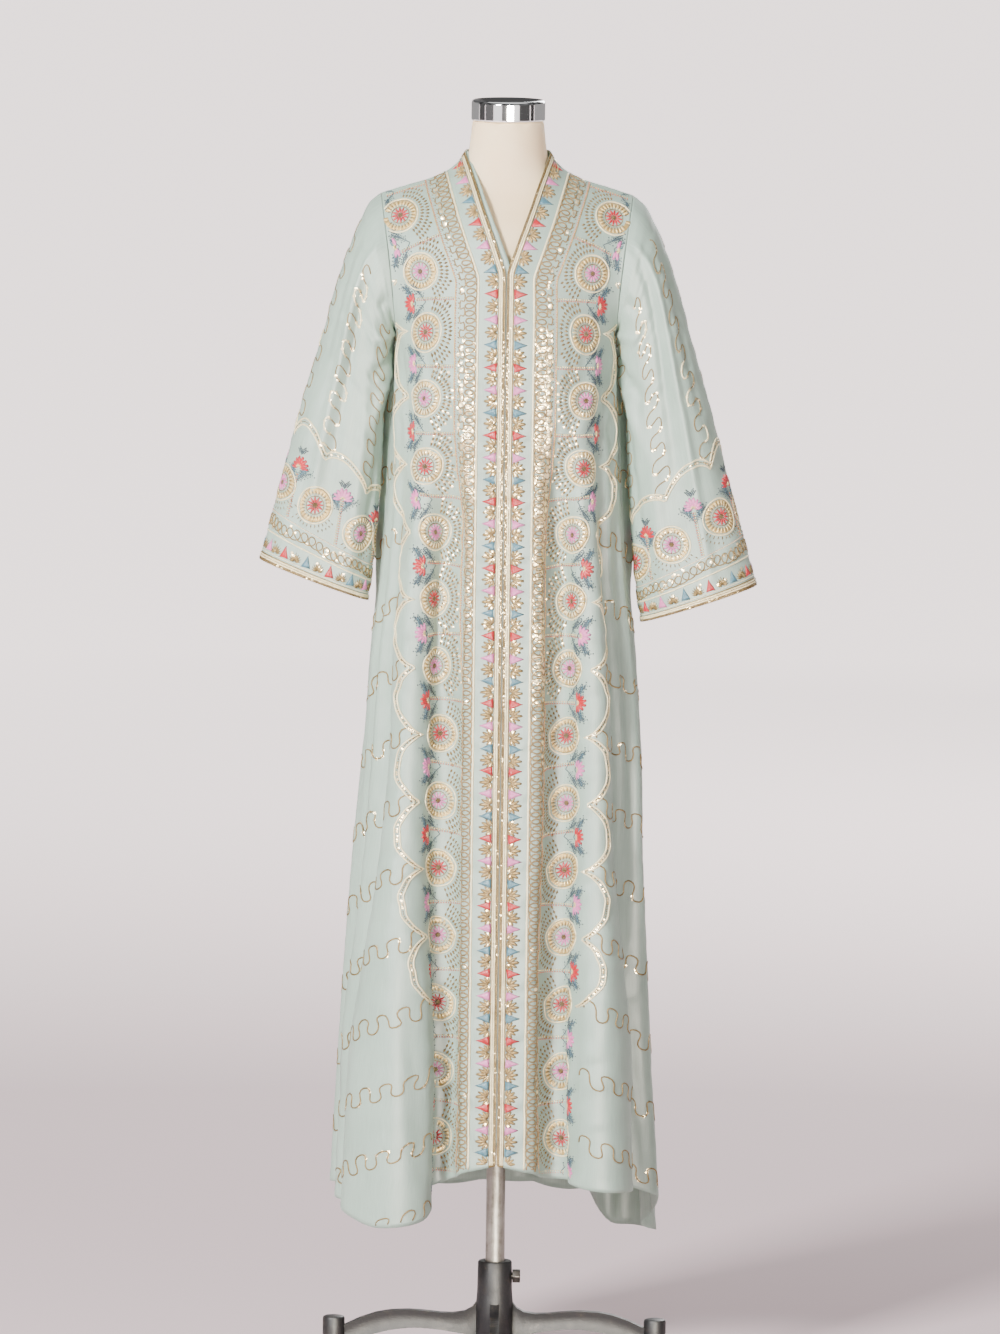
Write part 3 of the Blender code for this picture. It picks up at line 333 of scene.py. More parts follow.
def yoke(bottom, top, inner, outer, shares):
    """Rows of the panel between four edge curves, rounded over towards its top edge."""
    even = np.linspace(0, 1, SAMPLES)
    inner_pull = (1 - even ** 2)[:, None]
    outer_pull = (even ** 3)[:, None]
    made = []
    for share, on_inner, on_outer in zip(shares, inner, outer):
        weight = np.array([share, 1 - (1 - share ** SHOULDER_ROUND) ** (1 / SHOULDER_ROUND), share])
        plain = bottom * (1 - weight) + top * weight
        row = plain + inner_pull * (on_inner - plain[0]) + outer_pull * (on_outer - plain[-1])
        made.append(at_shares(row, even))
    return np.array(made)


def grid_normals(points, towards):
    """Normals of a grid of points, turned so that the sum of them agrees with towards."""
    normal = np.cross(np.gradient(points, axis=1), np.gradient(points, axis=0))
    return unit(-normal if np.sum(normal * towards) < 0 else normal)


form_solid = next(o for o in bpy.data.objects if o.type == "MESH" and o.name.startswith("form_torso"))
form_tree = BVHTree.FromPolygons([vertex.co * 1000 for vertex in form_solid.data.vertices],
                                 [tuple(face.vertices) for face in form_solid.data.polygons])


def clear_of_form(points, normals, raised):
    """The rise of the cloth kept from falling nearer to the dress form than FORM_GAP."""
    flat_points = points.reshape(-1, 3)
    room = np.full(len(flat_points), 1e3)
    for k, (point, normal) in enumerate(zip(flat_points, normals.reshape(-1, 3))):
        place, _, _, away = form_tree.find_nearest(point, FORM_REACH)
        if place is not None:
            room[k] = (point - np.array(place)) @ normal
    inward = FORM_GAP - room.reshape(raised.shape)
    return 0.5 * (raised + inward + np.sqrt((raised - inward) ** 2 + SOFT_STOP ** 2))


def creased(side, points, normals, place, width):
    """The cloth's rows with the side's creases and fine puckers pressed into them."""
    raised = np.zeros(place.shape)
    height = points[:, :, 2]
    for place_top, z_top, place_low, z_low, half, depth, wander in rows_of(CREASES[side]):
        t = np.clip((z_top - height) / (z_top - z_low), 0, 1)
        middle = place_top + (place_low - place_top) * t + wander * np.sin(9 * t + 20 * place_top)
        away = (place - middle) * 2 * width[:, None] / half
        raised += CREASE_STRENGTH * depth * np.exp(-away ** 2) * np.sin(math.pi * t) ** CREASE_ENDS
    for place_top, place_hem, half, depth, start, full in rows_of(DEEP_FOLDS[side]):
        middle = place_top + (place_hem - place_top) * smooth(*DEEP_DRIFT_Z, height)
        raised += smooth(start, full, height) * depth * np.exp(-((place - middle) / half) ** 2)
    across = place * 2 * width[:, None]
    fine = np.zeros(place.shape)
    for turn, pace, phase, size in PUCKERS:
        fine += size * np.sin(2 * math.pi * pace * (across * math.cos(turn) + height * math.sin(turn)) + phase)
    fine *= 0.25 + 0.6 * smooth(*EMBROIDERED_ACROSS, across)
    near_form = smooth(*OFF_FORM_Z, height)
    raised = raised * near_form + np.where(height > 1400, np.abs(fine), fine) * (0.35 + 0.65 * near_form)
    raised *= 0.35 + 0.65 * smooth(0, 0.05, np.abs(place - 0.5))
    behind = np.exp(-((place - BEHIND_ARM_PLACE) / BEHIND_ARM_WIDTH) ** 2)
    raised += BEHIND_ARM_SWELL * behind * smooth(1396, 1350, height) * (1 - smooth(1130, 1040, height))
    low = height[:, 0] < FORM_CLEAR_Z
    raised[low] = clear_of_form(points[low], normals[low], raised[low])
    return points + normals * raised[:, :, None]


class Panel:
    """Half a front or half a back as a dense sheet of rows, from low down to the shoulder.
    Distances run from the body's middle across the cloth."""

    def __init__(self, rows, places, towards):
        self.rows, self.places, self.width = rows, places, widths(rows)
        self.normals = grid_normals(rows, towards)

    def width_at(self, level):
        low = np.clip(level.astype(int), 0, len(self.width) - 2)
        part = np.clip(level - low, 0, 1)
        return self.width[low] * (1 - part) + self.width[low + 1] * part

    def hem_distances(self, first, count):
        """Even distances across the panel at its hem, up to the side seam."""
        return np.linspace(first, self.width[int(level_at(MEAN_HEM_Z))] - SEAM / 2, count)

    def read(self, level, distance):
        """Points, normals and places at levels and distances across."""
        low = np.clip(np.floor(level).astype(int), 0, len(self.rows) - 2)
        share = np.clip(level - low, 0, 1)
        found = [0, 0, 0]
        for row, part in ((low, 1 - share), (low + 1, share)):
            spot = np.clip(distance / self.width[row], 0, 1) * (SAMPLES - 1)
            left = np.clip(spot.astype(int), 0, SAMPLES - 2)
            t = spot - left
            for k, source in enumerate((self.rows, self.normals, self.places)):
                w, s = (part[..., None], t[..., None]) if source.ndim == 3 else (part, t)
                found[k] = found[k] + w * (source[row, left] * (1 - s) + source[row, left + 1] * s)
        return found[0], unit(found[1]), found[2]


def half_panels(side):
    """The front and back half panels of one side, creased."""
    even = np.linspace(0, 1, SAMPLES)
    front, back = [], []
    for height in np.linspace(LOWEST_Z, ARMPIT_Z, LOWER_LEVELS):
        section = half_section(side, height)
        seam = len(section) // 2
        front.append(at_shares(section[:seam + 1], even))
        back.append(at_shares(section[seam:][::-1], even))
    front, back = np.array(front), np.array(back)
    shares = yoke_shares(np.linspace(0, 1, YOKE_LEVELS + 1)[1:])
    seam = along(SHOULDER_SEAM, even)
    chest = np.vstack([front[-1][0, :3], [0, V_POINT_Y - 7, 1450], along(NECK_EDGE, even)])
    front_yoke = yoke(front[-1][:, :3], seam, at_shares(chest, shares), along(FRONT_ARMHOLE, shares), shares)
    back_top = at_shares(np.vstack([along(BACK_NECK, even), seam[1:]]), even)
    back_yoke = yoke(back[-1][:, :3], back_top, along(BACK_MIDDLE, shares), along(BACK_ARMHOLE, shares), shares)
    made = []
    for lower, upper, towards in ((front, front_yoke, (0, -1, 0)), (back, back_yoke, (0, 1, 0))):
        rows = np.concatenate([lower[:, :, :3], upper]) * np.array([SIDES[side], 1, 1])
        places = np.concatenate([lower[:, :, 3], np.broadcast_to(lower[-1, :, 3], upper.shape[:2])])
        moved = creased(side, rows, grid_normals(rows, towards), places, widths(rows))
        moved = np.array([at_shares(np.column_stack([row, place]), even) for row, place in zip(moved, places)])
        made.append(Panel(moved[:, :, :3], moved[:, :, 3], towards))
    front, back = made
    mean = unit(front.normals[:LOWER_LEVELS, -1] + back.normals[:LOWER_LEVELS, -1])
    front.normals[:LOWER_LEVELS, -1] = back.normals[:LOWER_LEVELS, -1] = mean
    return front, back


def level_at(height):
    """The level of the lower body at a height."""
    return (height - LOWEST_Z) / (ARMPIT_Z - LOWEST_Z) * ARMPIT_LEVEL


def panel_mesh_grid(panel, side, distances, body_rows, yoke_rows, to_seam=True):
    """Outer points and normals of a half panel's mesh, its rows from the hem to the top.
    The distances are stretched to end at the side seam, or kept as they are for a strip."""
    hem_level = level_at(MEAN_HEM_Z)
    shares = distances / panel.width[int(hem_level)]
    level = np.full(len(shares), hem_level)
    for _ in range(5):
        width = panel.width[np.clip(level.astype(int), 0, len(panel.width) - 1)]
        level = level_at(hem_height(side, panel.read(level, shares * width)[2]))
    row = np.arange(body_rows + 1) / body_rows
    plain = level_at(MEAN_HEM_Z + row * (ARMPIT_Z - MEAN_HEM_Z))
    pull = np.clip(1 - row / HEM_BLEND, 0, 1) ** 2
    lower = plain[:, None] + (level - hem_level)[None] * pull[:, None]
    upper = ARMPIT_LEVEL + YOKE_LEVELS * np.linspace(0, 1, yoke_rows + 1)[1:]
    levels = np.concatenate([lower, np.repeat(upper[:, None], len(shares), axis=1)])
    edge = distances[0]
    spread = (distances - edge) / (distances[-1] - edge)
    across = edge + (panel.width_at(levels) - SEAM / 2 - edge) * spread[None]
    if not to_seam:
        across = np.broadcast_to(distances, levels.shape)
    points, normals, _ = panel.read(levels, across)
    if to_seam:
        points = points + normals * (0.5 * smooth(13, 11.5, points[:, :, 2] - points[:1, :, 2]))[:, :, None]
    return points, normals


# Meshes
pieces = []
replaced = {}


def mesh_piece(name, points, faces, uv, material):
    """A piece of the garment from points in millimetres."""
    mesh = bpy.data.meshes.new(name)
    mesh.from_pydata((np.asarray(points) / 1000.0).tolist(), [], faces.tolist())
    mesh.update()
    layer = mesh.uv_layers.new(name="cloth")
    index = np.empty(len(mesh.loops), np.int32)
    mesh.loops.foreach_get("vertex_index", index)
    layer.data.foreach_set("uv", np.asarray(uv, np.float32)[index].ravel())
    mesh.shade_smooth()
    mesh.materials.append(material)
    obj = bpy.data.objects.new(name, mesh)
    bpy.context.scene.collection.objects.link(obj)
    pieces.append(obj)
    return obj


def cloth_uv(points, across):
    """Texture places in metres: across the cloth, and up it."""
    up = run(points)
    return np.stack([np.broadcast_to(across, up.shape), up], axis=-1) / 1000.0


def shell(name, outer, normals, uv, material, replaces, thickness=SHELL, wrap=False):
    """A thin closed shell of cloth under a grid of outer points, turned to face outwards."""
    rows, columns = outer.shape[:2]
    points = np.concatenate([outer.reshape(-1, 3), (outer - normals * thickness).reshape(-1, 3)])
    back = rows * columns
    r, c = np.meshgrid(np.arange(rows - 1), np.arange(columns if wrap else columns - 1), indexing="ij")
    n = (c + 1) % columns
    faces = np.stack([r * columns + c, r * columns + n, (r + 1) * columns + n, (r + 1) * columns + c], axis=-1)
    faces = faces.reshape(-1, 4)
    if wrap:
        rims = [list(range(columns)), [(rows - 1) * columns + k for k in range(columns)][::-1]]
    else:
        rim = list(range(columns)) + [row * columns + columns - 1 for row in range(1, rows)]
        rim += [(rows - 1) * columns + column for column in range(columns - 2, -1, -1)]
        rims = [rim + [row * columns for row in range(rows - 2, 0, -1)]]
    edges = [(second, first, back + first, back + second)
             for rim in rims for first, second in zip(rim, rim[1:] + rim[:1])]
    faces = np.concatenate([faces, back + faces[:, ::-1], np.array(edges)])
    a, b = outer[rows // 2, columns // 3], outer[rows // 2, columns // 3 + 1]
    c = outer[rows // 2 + 1, columns // 3 + 1]
    if np.dot(np.cross(b - a, c - a), normals[rows // 2, columns // 3]) < 0:
        faces = faces[:, ::-1]
    replaced[name] = [replaces]
    mesh_piece(name, points, faces, np.concatenate([uv.reshape(-1, 2)] * 2), material)


# Materials
class Paint:
    """A material: its Principled shader, and nodes that feed it from the piece's own coordinates."""

    def __init__(self, name, colour, roughness, metallic=0.0, **sockets):
        self.made = bpy.data.materials.new(name)
        self.made.use_nodes = True
        self.shader = self.made.node_tree.nodes["Principled BSDF"]
        self.set(Base_Color=(*colour, 1), Roughness=roughness, Metallic=metallic, **sockets)

    def feed(self, found, inputs):
        """Sets a node's inputs from values, or links them from other sockets."""
        for socket, value in inputs.items():
            if isinstance(value, bpy.types.NodeSocket):
                self.made.node_tree.links.new(value, found.inputs[socket])
            else:
                found.inputs[socket].default_value = value

    def set(self, **sockets):
        self.feed(self.shader, {name.replace("_", " "): value for name, value in sockets.items()})

    def node(self, kind, output, inputs=(), **settings):
        """An output of a new node."""
        found = self.made.node_tree.nodes.new("ShaderNode" + kind)
        for setting, value in settings.items():
            setattr(found, setting, value)
        self.feed(found, dict(inputs))
        return found.outputs[output]

    def place(self):
        return self.node("TexCoord", "Object")

    def stretched(self, vector, *scale):
        return self.node("Mapping", 0, {"Vector": vector, "Scale": scale})

    def noise(self, vector, scale, detail, roughness=0.5):
        inputs = {"Vector": vector, "Scale": scale, "Detail": detail, "Roughness": roughness}
        return self.node("TexNoise", 0, inputs)

    def wave(self, vector, direction, scale, distortion, detail=2.0, detail_scale=1.0):
        inputs = {"Vector": vector, "Scale": scale, "Distortion": distortion, "Detail": detail,
                  "Detail Scale": detail_scale}
        return self.node("TexWave", "Fac", inputs, bands_direction=direction)

    def added(self, first, second, share=1.0, second_share=1.0):
        """The sum of two factors, each times its share."""
        shared = [value if part == 1.0 else self.node("Math", 0, {0: value, 1: part}, operation="MULTIPLY")
                  for value, part in ((first, share), (second, second_share))]
        return self.node("Math", 0, dict(enumerate(shared)), operation="ADD")

    def spread(self, value, low, high, start=0.0, stop=1.0):
        """The value's range from start to stop, stretched to run from low to high."""
        inputs = {"Value": value, "From Min": start, "From Max": stop, "To Min": low, "To Max": high}
        return self.node("MapRange", 0, inputs)

    def ramp(self, factor, *stops):
        """A colour ramp over the factor. Stops are places with a colour each."""
        colour = self.node("ValToRGB", "Color", {"Fac": factor})
        elements = colour.node.color_ramp.elements
        while len(elements) < len(stops):
            elements.new(0.5)
        for element, (place, shade) in zip(elements, stops):
            element.position = place
            element.color = (*shade, 1)
        return colour

    def bump(self, height, strength, distance, **under):
        inputs = {"Height": height, "Strength": strength, "Distance": distance, **under}
        return self.node("Bump", "Normal", inputs)


def cloth_finish():
    """Sage satin cotton: a fine plain weave with slubs, faintly mottled."""
    paint = Paint("sage_satin_cotton", (0.335, 0.445, 0.365), 0.48, Sheen_Weight=0.2, Sheen_Roughness=0.4,
                  Sheen_Tint=(0.93, 1.0, 0.97, 1), Specular_IOR_Level=0.55)
    uv = paint.node("UVMap", "UV")
    weft, warp = (paint.wave(uv, direction, 330.0, 1.2, 1.0, 1.5) for direction in "YX")
    slub = paint.noise(paint.stretched(uv, 900.0, 26.0, 1.0), 1.0, 3.0)
    mottle = paint.noise(paint.place(), 9.0, 4.0, 0.6)
    shades = ((0.30, (0.275, 0.375, 0.305)), (0.50, (0.335, 0.445, 0.365)), (0.72, (0.40, 0.51, 0.43)))
    weave = paint.bump(paint.added(weft, warp), 0.10, 0.0003)
    paint.set(Base_Color=paint.ramp(paint.added(slub, mottle, 0.55, 0.45), *shades),
              Roughness=paint.spread(slub, 0.38, 0.56), Normal=paint.bump(slub, 0.14, 0.0006, Normal=weave))
    return paint.made


def thread_finish(name, light, dark, roughness, metallic=0.0, twist=420.0, sheen=0.3):
    """Embroidery thread: a plied twist along the stitch, each stitch a little lighter or darker at random, and
    darker in the grooves of the twist: painted shade.
    """
    paint = Paint(name, light, roughness, metallic, Sheen_Weight=sheen, Sheen_Roughness=0.4, Anisotropic=0.4)
    patch = paint.noise(paint.place(), 260.0, 2.0)
    plies_and_groove_shade = paint.wave(paint.node("UVMap", "UV"), "DIAGONAL", twist, 0.6)
    # The colour runs towards the darker colour in the grooves of the twist (painted shade), mixed with random tone
    # from stitch to stitch.
    paint.set(Base_Color=paint.ramp(paint.added(patch, plies_and_groove_shade, 0.7, 0.3), (0.30, dark), (0.62, light)),
              Normal=paint.bump(plies_and_groove_shade, 0.35, 0.0004))
    return paint.made


def sequin_finish():
    """Champagne sequins: foil discs, mirror-bright with fine scratches."""
    paint = Paint("champagne_sequin", (1.0, 0.95, 0.80), 0.40, 0.75, Coat_Weight=0.5, Coat_Roughness=0.15)
    patch = paint.noise(paint.place(), 300.0, 1.0)
    paint.set(Base_Color=paint.ramp(patch, (0.35, (0.92, 0.70, 0.34)), (0.65, (1.0, 0.90, 0.62))),
              Roughness=paint.spread(patch, 0.26, 0.40))
    return paint.made


CLOTH = cloth_finish()
# Each thread: name, colour, a darker colour for random tone and painted groove shade, roughness, metallic, then
# twist and sheen where given.
THREADS = {
    "gold": thread_finish("antique_gold_thread", (0.29, 0.195, 0.062), (0.115, 0.072, 0.02), 0.38, 0.35),
    "beige_gold": thread_finish("beige_gold_thread", (0.34, 0.225, 0.08), (0.15, 0.092, 0.028), 0.38, 0.2),
    "pale_gold": thread_finish("pale_gold_thread", (0.62, 0.43, 0.155), (0.38, 0.245, 0.075), 0.36, 0.3),
    "ivory_gold": thread_finish("ivory_gold_thread", (0.90, 0.74, 0.38), (0.62, 0.45, 0.18), 0.3, 0.3),
    "cream": thread_finish("cream_cord", (0.86, 0.78, 0.56), (0.62, 0.52, 0.32), 0.42, 0.15, 300.0),
    "white": thread_finish("ivory_cord", (0.93, 0.84, 0.53), (0.74, 0.62, 0.34), 0.34, 0.1, 300.0),
    "red": thread_finish("coral_red_silk", (0.62, 0.012, 0.024), (0.38, 0.005, 0.010), 0.38, sheen=0.35),
    "pink": thread_finish("rose_pink_silk", (0.80, 0.22, 0.48), (0.60, 0.11, 0.32), 0.38, sheen=0.4),
    "peach": thread_finish("peach_silk", (0.70, 0.22, 0.13), (0.48, 0.13, 0.06), 0.4, 0.15, sheen=0.4),
    "blue": thread_finish("teal_blue_silk", (0.09, 0.24, 0.30), (0.04, 0.12, 0.16), 0.38, sheen=0.4),
    "slate": thread_finish("slate_silk", (0.04, 0.085, 0.11), (0.018, 0.04, 0.055), 0.42),
    "sequin": sequin_finish(),
}


# Cloth shells
halves = {side: half_panels(side) for side in SIDES}
for side, (front, _) in halves.items():
    distances = front.hem_distances(OPENING, FRONT_COLUMNS)
    points, normals = panel_mesh_grid(front, side, distances, BODY_ROWS, YOKE_ROWS)
    shell(f"front_{side}_cloth", points, normals, cloth_uv(points, distances), CLOTH, f"front_{side}")


def whole_back(left, right):
    """Two half grids as one: points, normals and distances across, from the left to the right."""
    points, normals = (np.concatenate([left[k][:, ::-1], right[k][:, 1:]], axis=1) for k in (0, 1))
    return points, normals, np.concatenate([-left[2][::-1], right[2][1:]])


grids = []
for side, (_, back) in halves.items():
    distances = back.hem_distances(0, BACK_COLUMNS)
    grids.append((*panel_mesh_grid(back, side, distances, LIGHT_ROWS, LIGHT_YOKE_ROWS), distances))
points, normals, across = whole_back(*grids)
shell("back_cloth", points, normals, cloth_uv(points, across), CLOTH, "back")


# Sleeves
def armhole_loop(side):
    """The sleeve's first ring, a seam's gap off the armhole, with the body's normals there."""
    shares = np.array(ARMHOLE_SHARES)
    steps = np.linspace(0, 1, 400)
    levels = ARMPIT_LEVEL + YOKE_LEVELS * np.interp(shares, yoke_shares(steps), steps)
    found = []
    for panel, order, sign in zip(halves[side], (slice(None, 0, -1), slice(0, -1)), (-1, 1)):
        found.append((*panel.read(levels[order], FAR)[:2], 0.5 + sign * 0.5 * shares[order]))
    points, normals, places = (np.concatenate(parts) for parts in zip(*found))
    edge = np.roll(points, -1, axis=0) - np.roll(points, 1, axis=0)
    return points + SEAM * unit(np.cross(normals, edge)) * SIDES[side], normals, places


def round_away(places, middle):
    """How far places lie from a middle round a sleeve, from -0.5 to 0.5."""
    return (places - middle + 0.5) % 1 - 0.5


def sleeve_ellipse(side, share, places):
    """The sleeve's ring at a share of its length, with its folds."""
    outer_x, outer_z, inner_x, inner_z, depth, middle = follow(SLEEVES[side], SLEEVE_COLUMNS.split()[1:], share)
    half = np.array([outer_x - inner_x, 0, outer_z - inner_z]) / 2
    centre = np.array([outer_x + inner_x, 2 * middle, outer_z + inner_z]) / 2
    turn = places * 2 * math.pi
    outward = np.cos(turn)[:, None] * half + np.sin(turn)[:, None] * np.array([0, -depth, 0])
    raised = np.zeros(len(turn))
    for place, width, deep, start, full, end in rows_of(SLEEVE_FOLDS):
        grown = smooth(start, full, share) * (1 - smooth(full, end, share))
        raised += grown * deep * hump(round_away(places, place) / width)
    ring = centre + outward * (1 + raised / np.linalg.norm(outward, axis=1))[:, None]
    return ring * np.array([SIDES[side], 1, 1])


def ring_normals(rings):
    """Normals of closed rings, turned outwards."""
    outward = rings - rings.mean(axis=1, keepdims=True)
    wide, towards = (np.concatenate([grid[:, -1:], grid, grid[:, :1]], axis=1) for grid in (rings, outward))
    return grid_normals(wide, towards)[:, 1:-1]


def girths(rings):
    return np.linalg.norm(rings - np.roll(rings, -1, axis=1), axis=2).sum(axis=1)


def sleeve_grid(side):
    """Rings of the sleeve from the armhole to the cuff, their normals, and the places round it."""
    loop, loop_normals, loop_places = armhole_loop(side)
    places = np.arange(AROUND) / AROUND
    order = np.argsort(loop_places)
    wrapped = np.concatenate([loop_places[order] + turns for turns in (-1, 0, 1)])
    loop, loop_normals = (np.column_stack([np.interp(places, wrapped, np.tile(column[order], 3))
                                           for column in values.T]) for values in (loop, loop_normals))
    loop_normals = unit(loop_normals)
    shares = np.linspace(0, 1, ALONG) ** SLEEVE_CROWDING
    start = sleeve_ellipse(side, 0, places)
    rings = np.array([sleeve_ellipse(side, share, places)
                      + (loop - start) * max(0.0, 1 - (share / ARMHOLE_FADE) ** 2) ** 2 for share in shares])
    raised = np.zeros(rings.shape[:2])
    for place_top, top, place_low, low, half, depth in rows_of(SLEEVE_CREASES[side]):
        t = np.clip((shares - top) / (low - top), 0, 1)
        middle = place_top + (place_low - place_top) * t
        away = round_away(places[None], middle[:, None]) * girths(rings)[:, None] / half
        grown = np.sin(math.pi * t) ** CREASE_ENDS
        raised += SLEEVE_CREASE_STRENGTH * depth * np.exp(-away ** 2) * grown[:, None]
    for turn, pace, phase, size in PUCKERS:
        raised += 0.5 * size * np.sin(2 * math.pi * pace * (shares[:, None] * 500) * abs(math.sin(turn)) + phase
                                      + 2 * math.pi * places[None] * round(8 * math.cos(turn)))
    swell = ARMPIT_SWELL * np.exp(-((places[None] - 0.5) / 0.11) ** 2)
    raised += swell * (smooth(0.0, 0.10, shares) * (1 - smooth(0.30, 0.46, shares)))[:, None]
    raised *= smooth(0, 0.06, shares)[:, None]
    raised += (0.5 * smooth(0.972, 0.978, shares))[:, None]
    rings = rings + ring_normals(rings) * raised[:, :, None]
    blend = smooth(0, 0.03, shares)[:, None, None]
    return rings, unit(ring_normals(rings) * blend + loop_normals[None] * (1 - blend))


sleeves = {side: sleeve_grid(side) for side in SIDES}
for side, (rings, normals) in sleeves.items():
    uv = cloth_uv(rings, np.arange(AROUND) / AROUND * girths(rings)[-1])
    shell(f"sleeve_{side}_cloth", rings, normals, uv, CLOTH, f"sleeve_{side}", wrap=True)

# Underlap behind the opening
level = np.linspace(level_at(330), ARMPIT_LEVEL + YOKE_LEVELS * 0.86, 260)
left, right = halves["left"][0], halves["right"][0]
columns = [left.read(level, distance)[:2] for distance in (12.0, 9.0, 6.0, 3.0, 0.0)]
edge, edge_normals = columns[-1]
ahead = unit(edge - columns[-2][0])
share = np.clip((edge[:, 2] - V_POINT_Z) / (NECK_POINT_Z - V_POINT_Z), 0, 1)
above = smooth(V_POINT_Z - 6, V_POINT_Z + 8, edge[:, 2])[:, None]
for distance, part in ((5.0, 0.5), (10.0, 1.0)):
    below, out, _ = right.read(level, distance)
    free = edge + ahead * ((5.5 * (1 - share) + 2.0) * part)[:, None]
    columns.append((below * (1 - above) + free * above, unit(out * (1 - above) + edge_normals * above)))
points, normals = (np.stack(found, axis=1) for found in zip(*columns))
points = points - normals * 2.1
shell("underlap_cloth", points, normals, cloth_uv(points, np.arange(7) * 4.0), CLOTH, "front_underlap")


# Drawing places on the cloth
class Chart:
    """Flat drawing places on a cloth: across it and up it in millimetres, from a grid of its points."""

    def __init__(self, points, normals, shown, wrap=False):
        self.points, self.normals, self.shown, self.wrap = points, normals, shown.astype(float), wrap
        across = np.roll(points, -1, axis=1) - points
        up = np.roll(points, -1, axis=0) - points
        facing = np.sum(np.cross(across, up)[:-1, :-1] * normals[:-1, :-1], axis=2) * self.shown[:-1, :-1]
        self.hand = 1 if facing.sum() > 0 else -1
        self.top = (len(points) - 1) * STEP

    def lifted(self, lift):
        """The same chart a little off the cloth."""
        made = Chart(self.points + self.normals * lift, self.normals, self.shown, self.wrap)
        made.hand = self.hand
        return made

    def place(self, spots):
        """Cloth points and normals at the spots, and whether the cloth shows there."""
        rows, columns = self.shown.shape
        x, y = spots[..., 0] / STEP, spots[..., 1] / STEP
        inside = (y >= 0) & (y <= rows - 1)
        if self.wrap:
            x = x % columns
        else:
            inside &= (x >= 0) & (x <= columns - 1)
        c = np.clip(np.floor(x).astype(int), 0, columns - 1 if self.wrap else columns - 2)
        r = np.clip(np.floor(y).astype(int), 0, rows - 2)
        s, t = np.clip(x - c, 0, 1), np.clip(y - r, 0, 1)
        n = (c + 1) % columns
        found = []
        for source in (self.points, self.normals, self.shown):
            a, b = (s[..., None], t[..., None]) if source.ndim == 3 else (s, t)
            found.append((source[r, c] * (1 - a) + source[r, n] * a) * (1 - b)
                         + (source[r + 1, c] * (1 - a) + source[r + 1, n] * a) * b)
        return found[0], unit(found[1]), inside & (found[2] > 0.99)

    def about(self, centres, offsets):
        """Spots at true millimetre offsets about the centres, undoing the slant of the chart."""
        reach, least = 3.0, 0.3
        across, up = ((self.place(centres + way)[0] - self.place(centres - way)[0]) / (2 * reach)
                      for way in np.array([[reach, 0], [0, reach]]))
        length = np.maximum(np.linalg.norm(up, axis=-1), least)
        along_up = up / length[..., None]
        lean = np.sum(across * along_up, axis=-1)
        square = np.maximum(np.linalg.norm(across - lean[..., None] * along_up, axis=-1), least)
        a = offsets[..., 0] / square[:, None]
        b = (offsets[..., 1] - a * lean[:, None]) / length[:, None]
        return centres[:, None] + np.stack([a, b], axis=-1)


def even_levels(panel, first, distance):
    """Levels of a panel that lie a step apart along a line up it, from the first one."""
    fine = np.arange(first, ARMPIT_LEVEL + YOKE_LEVELS, 0.5)
    lengths = run(panel.read(fine, distance)[0])
    return np.interp(np.arange(0, lengths[-1], STEP), lengths, fine)


def body_chart(side):
    """One half of the garment: its front, and below the armpit on round the side to the back."""
    front, back = halves[side]
    level = even_levels(front, 0, 70.0)
    width, rest = (panel.width_at(level)[:, None] for panel in (front, back))
    levels, spots = np.meshgrid(level, np.arange(0, 560, STEP), indexing="ij")
    beyond = spots - width
    turned = beyond > 0
    points, normals, places = (
        np.where(turned[..., None] if on_front.ndim == 3 else turned, on_back, on_front) for on_front, on_back
        in zip(front.read(levels, spots), back.read(levels, np.maximum(rest - beyond, 0))))
    shown = (beyond < rest) & ((beyond < -1.5) | (levels < LOWER_LEVELS - 3))
    hem = hem_height(side, places.ravel()).reshape(places.shape)
    return Chart(points, normals, shown & (points[..., 2] > hem + HEM_CLEAR))


def back_chart(side):
    """The upper half back, from the armpit to the shoulder seam."""
    back = halves[side][1]
    level = even_levels(back, LOWER_LEVELS - 4, 60.0)
    levels, spots = np.meshgrid(level, np.arange(0, 260, STEP), indexing="ij")
    points, normals, _ = back.read(levels, spots)
    return Chart(points, normals, spots < back.width[level.astype(int)][:, None] - 2)


def sleeve_chart(side):
    """The sleeve, round it from under the arm and up it from the cuff."""
    rings, normals = (grid[::-1] for grid in sleeves[side])
    up = np.concatenate([[0], np.cumsum(np.linalg.norm(np.diff(rings, axis=0), axis=2).mean(axis=1))])
    wanted = np.arange(0, up[-1], STEP)
    low = np.clip(np.searchsorted(up, wanted, side="right") - 1, 0, len(up) - 2)
    t = ((wanted - up[low]) / (up[low + 1] - up[low]))[:, None, None]
    columns = int(CUFF_GIRTH / STEP)
    place = np.arange(columns) / columns * AROUND
    c = np.floor(place).astype(int)
    s = (place - c)[None, :, None]
    points, out = (grid[low] * (1 - t) + grid[low + 1] * t for grid in (rings, normals))
    points, out = (rows[:, c] * (1 - s) + rows[:, (c + 1) % AROUND] * s for rows in (points, out))
    return Chart(points, unit(out), np.ones(points.shape[:2]), wrap=True)


